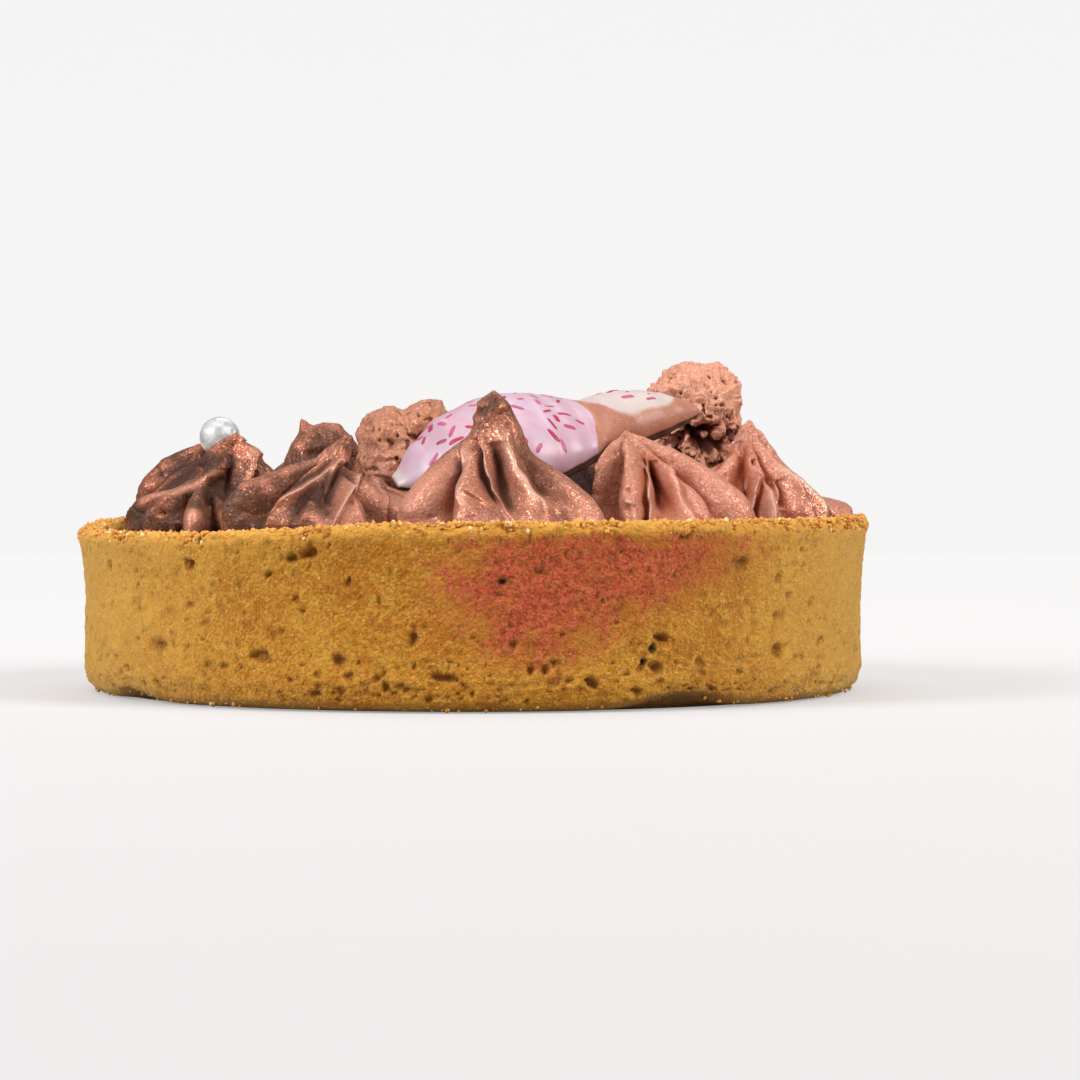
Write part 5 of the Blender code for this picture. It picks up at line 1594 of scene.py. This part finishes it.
class TartCaseSettings(bpy.types.PropertyGroup):
    rim_radius: length("Rim radius", "From the middle to the outside of the rim", 47.0 * MM)
    wall_radius: length("Wall radius", "Radius of the wall where it is narrowest", 46.3 * MM)
    foot_radius: length("Foot radius", "Radius of the flat foot", 45.2 * MM)
    height: length("Height", "Height of the rim over the table", 20.3 * MM)
    wobble: length("Wobble", "How far the wall strays from round", 0.3 * MM)
    relief: share("Relief", "Depth of the crumb, 1 being that of a hand-lined case", 1.0)
    crust_light: colour("Crust, light", "Colour of the paler crumb", (0.63, 0.30, 0.032))
    crust_dark: colour("Crust, dark", "Colour of the browner crumb", (0.46, 0.157, 0.009))
    rim_colour: colour("Rim", "Colour of the crumbly rim", (0.79, 0.38, 0.060))
    dust_colour: colour("Lustre on the wall", "Colour of the copper on the wall", (0.46, 0.053, 0.024))


class TartCreamSettings(bpy.types.PropertyGroup):
    crest_sharpness: share("Crest sharpness", "How sharply the folds meet", 9.0)
    unevenness: share("Unevenness", "Depth of the drag lines and lumps, 1 being that of hand piping", 1.0)
    gap: length("Gap", "Gap between peaks that press on each other", 0.04 * MM)
    bare_colour: colour("Bare cream", "Colour of the cream where no lustre lies", (0.095, 0.036, 0.017))
    lustre_left: colour("Lustre, left", "Colour of the lustre on the left peaks", (0.40, 0.135, 0.072))
    lustre_right: colour("Lustre, right", "Colour of the lustre on the right peaks", (0.60, 0.258, 0.172))


class TartToppingSettings(bpy.types.PropertyGroup):
    fish_tilt: bpy.props.FloatProperty(
        name="Fish tilt", description="How far the fish's face leans to the front",
        default=math.radians(35.0), subtype="ANGLE")
    pearl_radius: length("Pearl radius", "Radius of the sugar pearl", 2.35 * MM)
    pink_colour: colour("Pink coat", "Colour of the coat on the fish's body", (0.56, 0.325, 0.395))
    white_colour: colour("White coat", "Colour of the coat on its nose and tail", (0.57, 0.47, 0.435))
    dash_colour: colour("Dashes", "Colour of the dashes on the coat", (0.42, 0.022, 0.07))
    brittle_colour: colour("Brittle lustre", "Colour of the lustre on the brittle", (0.70, 0.32, 0.205))
    silver_colour: colour("Silver", "Colour of the pearl's silver", (0.69, 0.68, 0.67))


class TartStageSettings(bpy.types.PropertyGroup):
    floor_radius: length("Floor radius", "Radius of the flat part of the floor", 0.9)
    wall_height: length("Wall height", "How high the floor turns up at its edge", 0.5)
    lens: bpy.props.FloatProperty(name="Lens", description="Focal length in mm", default=110.0)
    camera_place: bpy.props.FloatVectorProperty(
        name="Camera", description="Where the camera stands", default=(0.0079, -0.397, 0.0241), size=3,
        subtype="TRANSLATION", unit="LENGTH")
    camera_dip: bpy.props.FloatProperty(
        name="Camera dip", description="How far the camera looks down", default=0.015756, subtype="ANGLE")
    key_power: share("Key light", "Watts of the key light", 4.0)
    fill_power: share("Left light", "Watts of the left light", 4.2)
    top_power: share("Top light", "Watts of the top light", 2.6)
    air_strength: share("Air", "Strength of the light all round", 0.30)
    # Painted light: the near and far glow are emission on the paper that the camera alone sees
    near_glow: share("Near glow", "How far the paper by the tart is lit from behind", 0.24)
    far_glow: share("Far glow", "How far the paper at the edge is lit from behind", 0.72)


# Operators


def shared_group(name, make):
    """The node group of that name, made the first time it is asked for."""
    return bpy.data.node_groups.get(name) or make()


class TART_OT_bake_case(bpy.types.Operator):
    """Bake the shortcrust case with its pores, cracks and crumbs"""

    bl_idname = "tart.bake_case"
    bl_label = "Bake case"

    def execute(self, context):
        case = context.scene.tart_case
        crumb = shared_group("baked_crumb", crumb_group)
        bake_case(case, crust_finish(case, crumb))
        scatter_crumbs(case, crumb_finish(case, crumb))
        return {"FINISHED"}


class TART_OT_spread_filling(bpy.types.Operator):
    """Spread the praline filling inside the rim"""

    bl_idname = "tart.spread_filling"
    bl_label = "Spread filling"

    def execute(self, context):
        spread_filling(context.scene.tart_case, filling_finish(shared_group("copper_lustre", lustre_group)))
        return {"FINISHED"}


class TART_OT_pipe_peaks(bpy.types.Operator):
    """Pipe the cream peaks and dust them with copper lustre"""

    bl_idname = "tart.pipe_peaks"
    bl_label = "Pipe peaks"

    def execute(self, context):
        scene = context.scene
        finish = cream_finish(scene.tart_cream, shared_group("copper_lustre", lustre_group))
        pipe_peaks(scene.tart_cream, scene.tart_toppings, finish)
        return {"FINISHED"}


class TART_OT_place_fish(bpy.types.Operator):
    """Place the coated chocolate fish and paint its dashes"""

    bl_idname = "tart.place_fish"
    bl_label = "Place fish"

    def execute(self, context):
        toppings = context.scene.tart_toppings
        coat = coat_finish(toppings, shared_group("copper_lustre", lustre_group))
        place_fish(toppings, coat, dash_finish(toppings))
        return {"FINISHED"}


class TART_OT_break_brittle(bpy.types.Operator):
    """Break two pieces of porous brittle over the tart"""

    bl_idname = "tart.break_brittle"
    bl_label = "Break brittle"

    def execute(self, context):
        finish = brittle_finish(context.scene.tart_toppings, shared_group("copper_lustre", lustre_group))
        for brittle in BRITTLES:
            break_brittle(brittle, finish)
        return {"FINISHED"}


class TART_OT_set_pearl(bpy.types.Operator):
    """Set the silver sugar pearl against the left peak"""

    bl_idname = "tart.set_pearl"
    bl_label = "Set pearl"

    def execute(self, context):
        toppings = context.scene.tart_toppings
        set_pearl(toppings, pearl_finish(toppings))
        return {"FINISHED"}


class TART_OT_set_stage(bpy.types.Operator):
    """Lay the pale floor, hang the soft lights and stand the camera"""

    bl_idname = "tart.set_stage"
    bl_label = "Set stage"

    def execute(self, context):
        set_stage(context.scene.tart_stage)
        return {"FINISHED"}


OPERATORS = (TART_OT_bake_case, TART_OT_spread_filling, TART_OT_pipe_peaks, TART_OT_place_fish,
             TART_OT_break_brittle, TART_OT_set_pearl, TART_OT_set_stage)
SETTINGS = {"tart_case": TartCaseSettings, "tart_cream": TartCreamSettings,
            "tart_toppings": TartToppingSettings, "tart_stage": TartStageSettings}


class TART_PT_kitchen(bpy.types.Panel):
    """Lists the steps of making the tart and their settings"""

    bl_idname = "TART_PT_kitchen"
    bl_label = "Praline tart"
    bl_space_type = "VIEW_3D"
    bl_region_type = "UI"
    bl_category = "Tart"

    def draw(self, context):
        for operator in OPERATORS:
            self.layout.operator(operator.bl_idname)
        for attribute, group in SETTINGS.items():
            box = self.layout.box()
            for name in group.__annotations__:
                box.prop(getattr(context.scene, attribute), name)


def register():
    for group in SETTINGS.values():
        bpy.utils.register_class(group)
    for attribute, group in SETTINGS.items():
        setattr(bpy.types.Scene, attribute, bpy.props.PointerProperty(type=group))
    for operator in OPERATORS:
        bpy.utils.register_class(operator)
    bpy.utils.register_class(TART_PT_kitchen)


def unregister():
    bpy.utils.unregister_class(TART_PT_kitchen)
    for operator in reversed(OPERATORS):
        bpy.utils.unregister_class(operator)
    for attribute, group in SETTINGS.items():
        delattr(bpy.types.Scene, attribute)
        bpy.utils.unregister_class(group)


def main():
    register()
    bpy.ops.tart.set_stage()
    bpy.ops.tart.bake_case()
    bpy.ops.tart.spread_filling()
    bpy.ops.tart.pipe_peaks()
    bpy.ops.tart.place_fish()
    bpy.ops.tart.break_brittle()
    bpy.ops.tart.set_pearl()


if __name__ == "__main__":
    main()
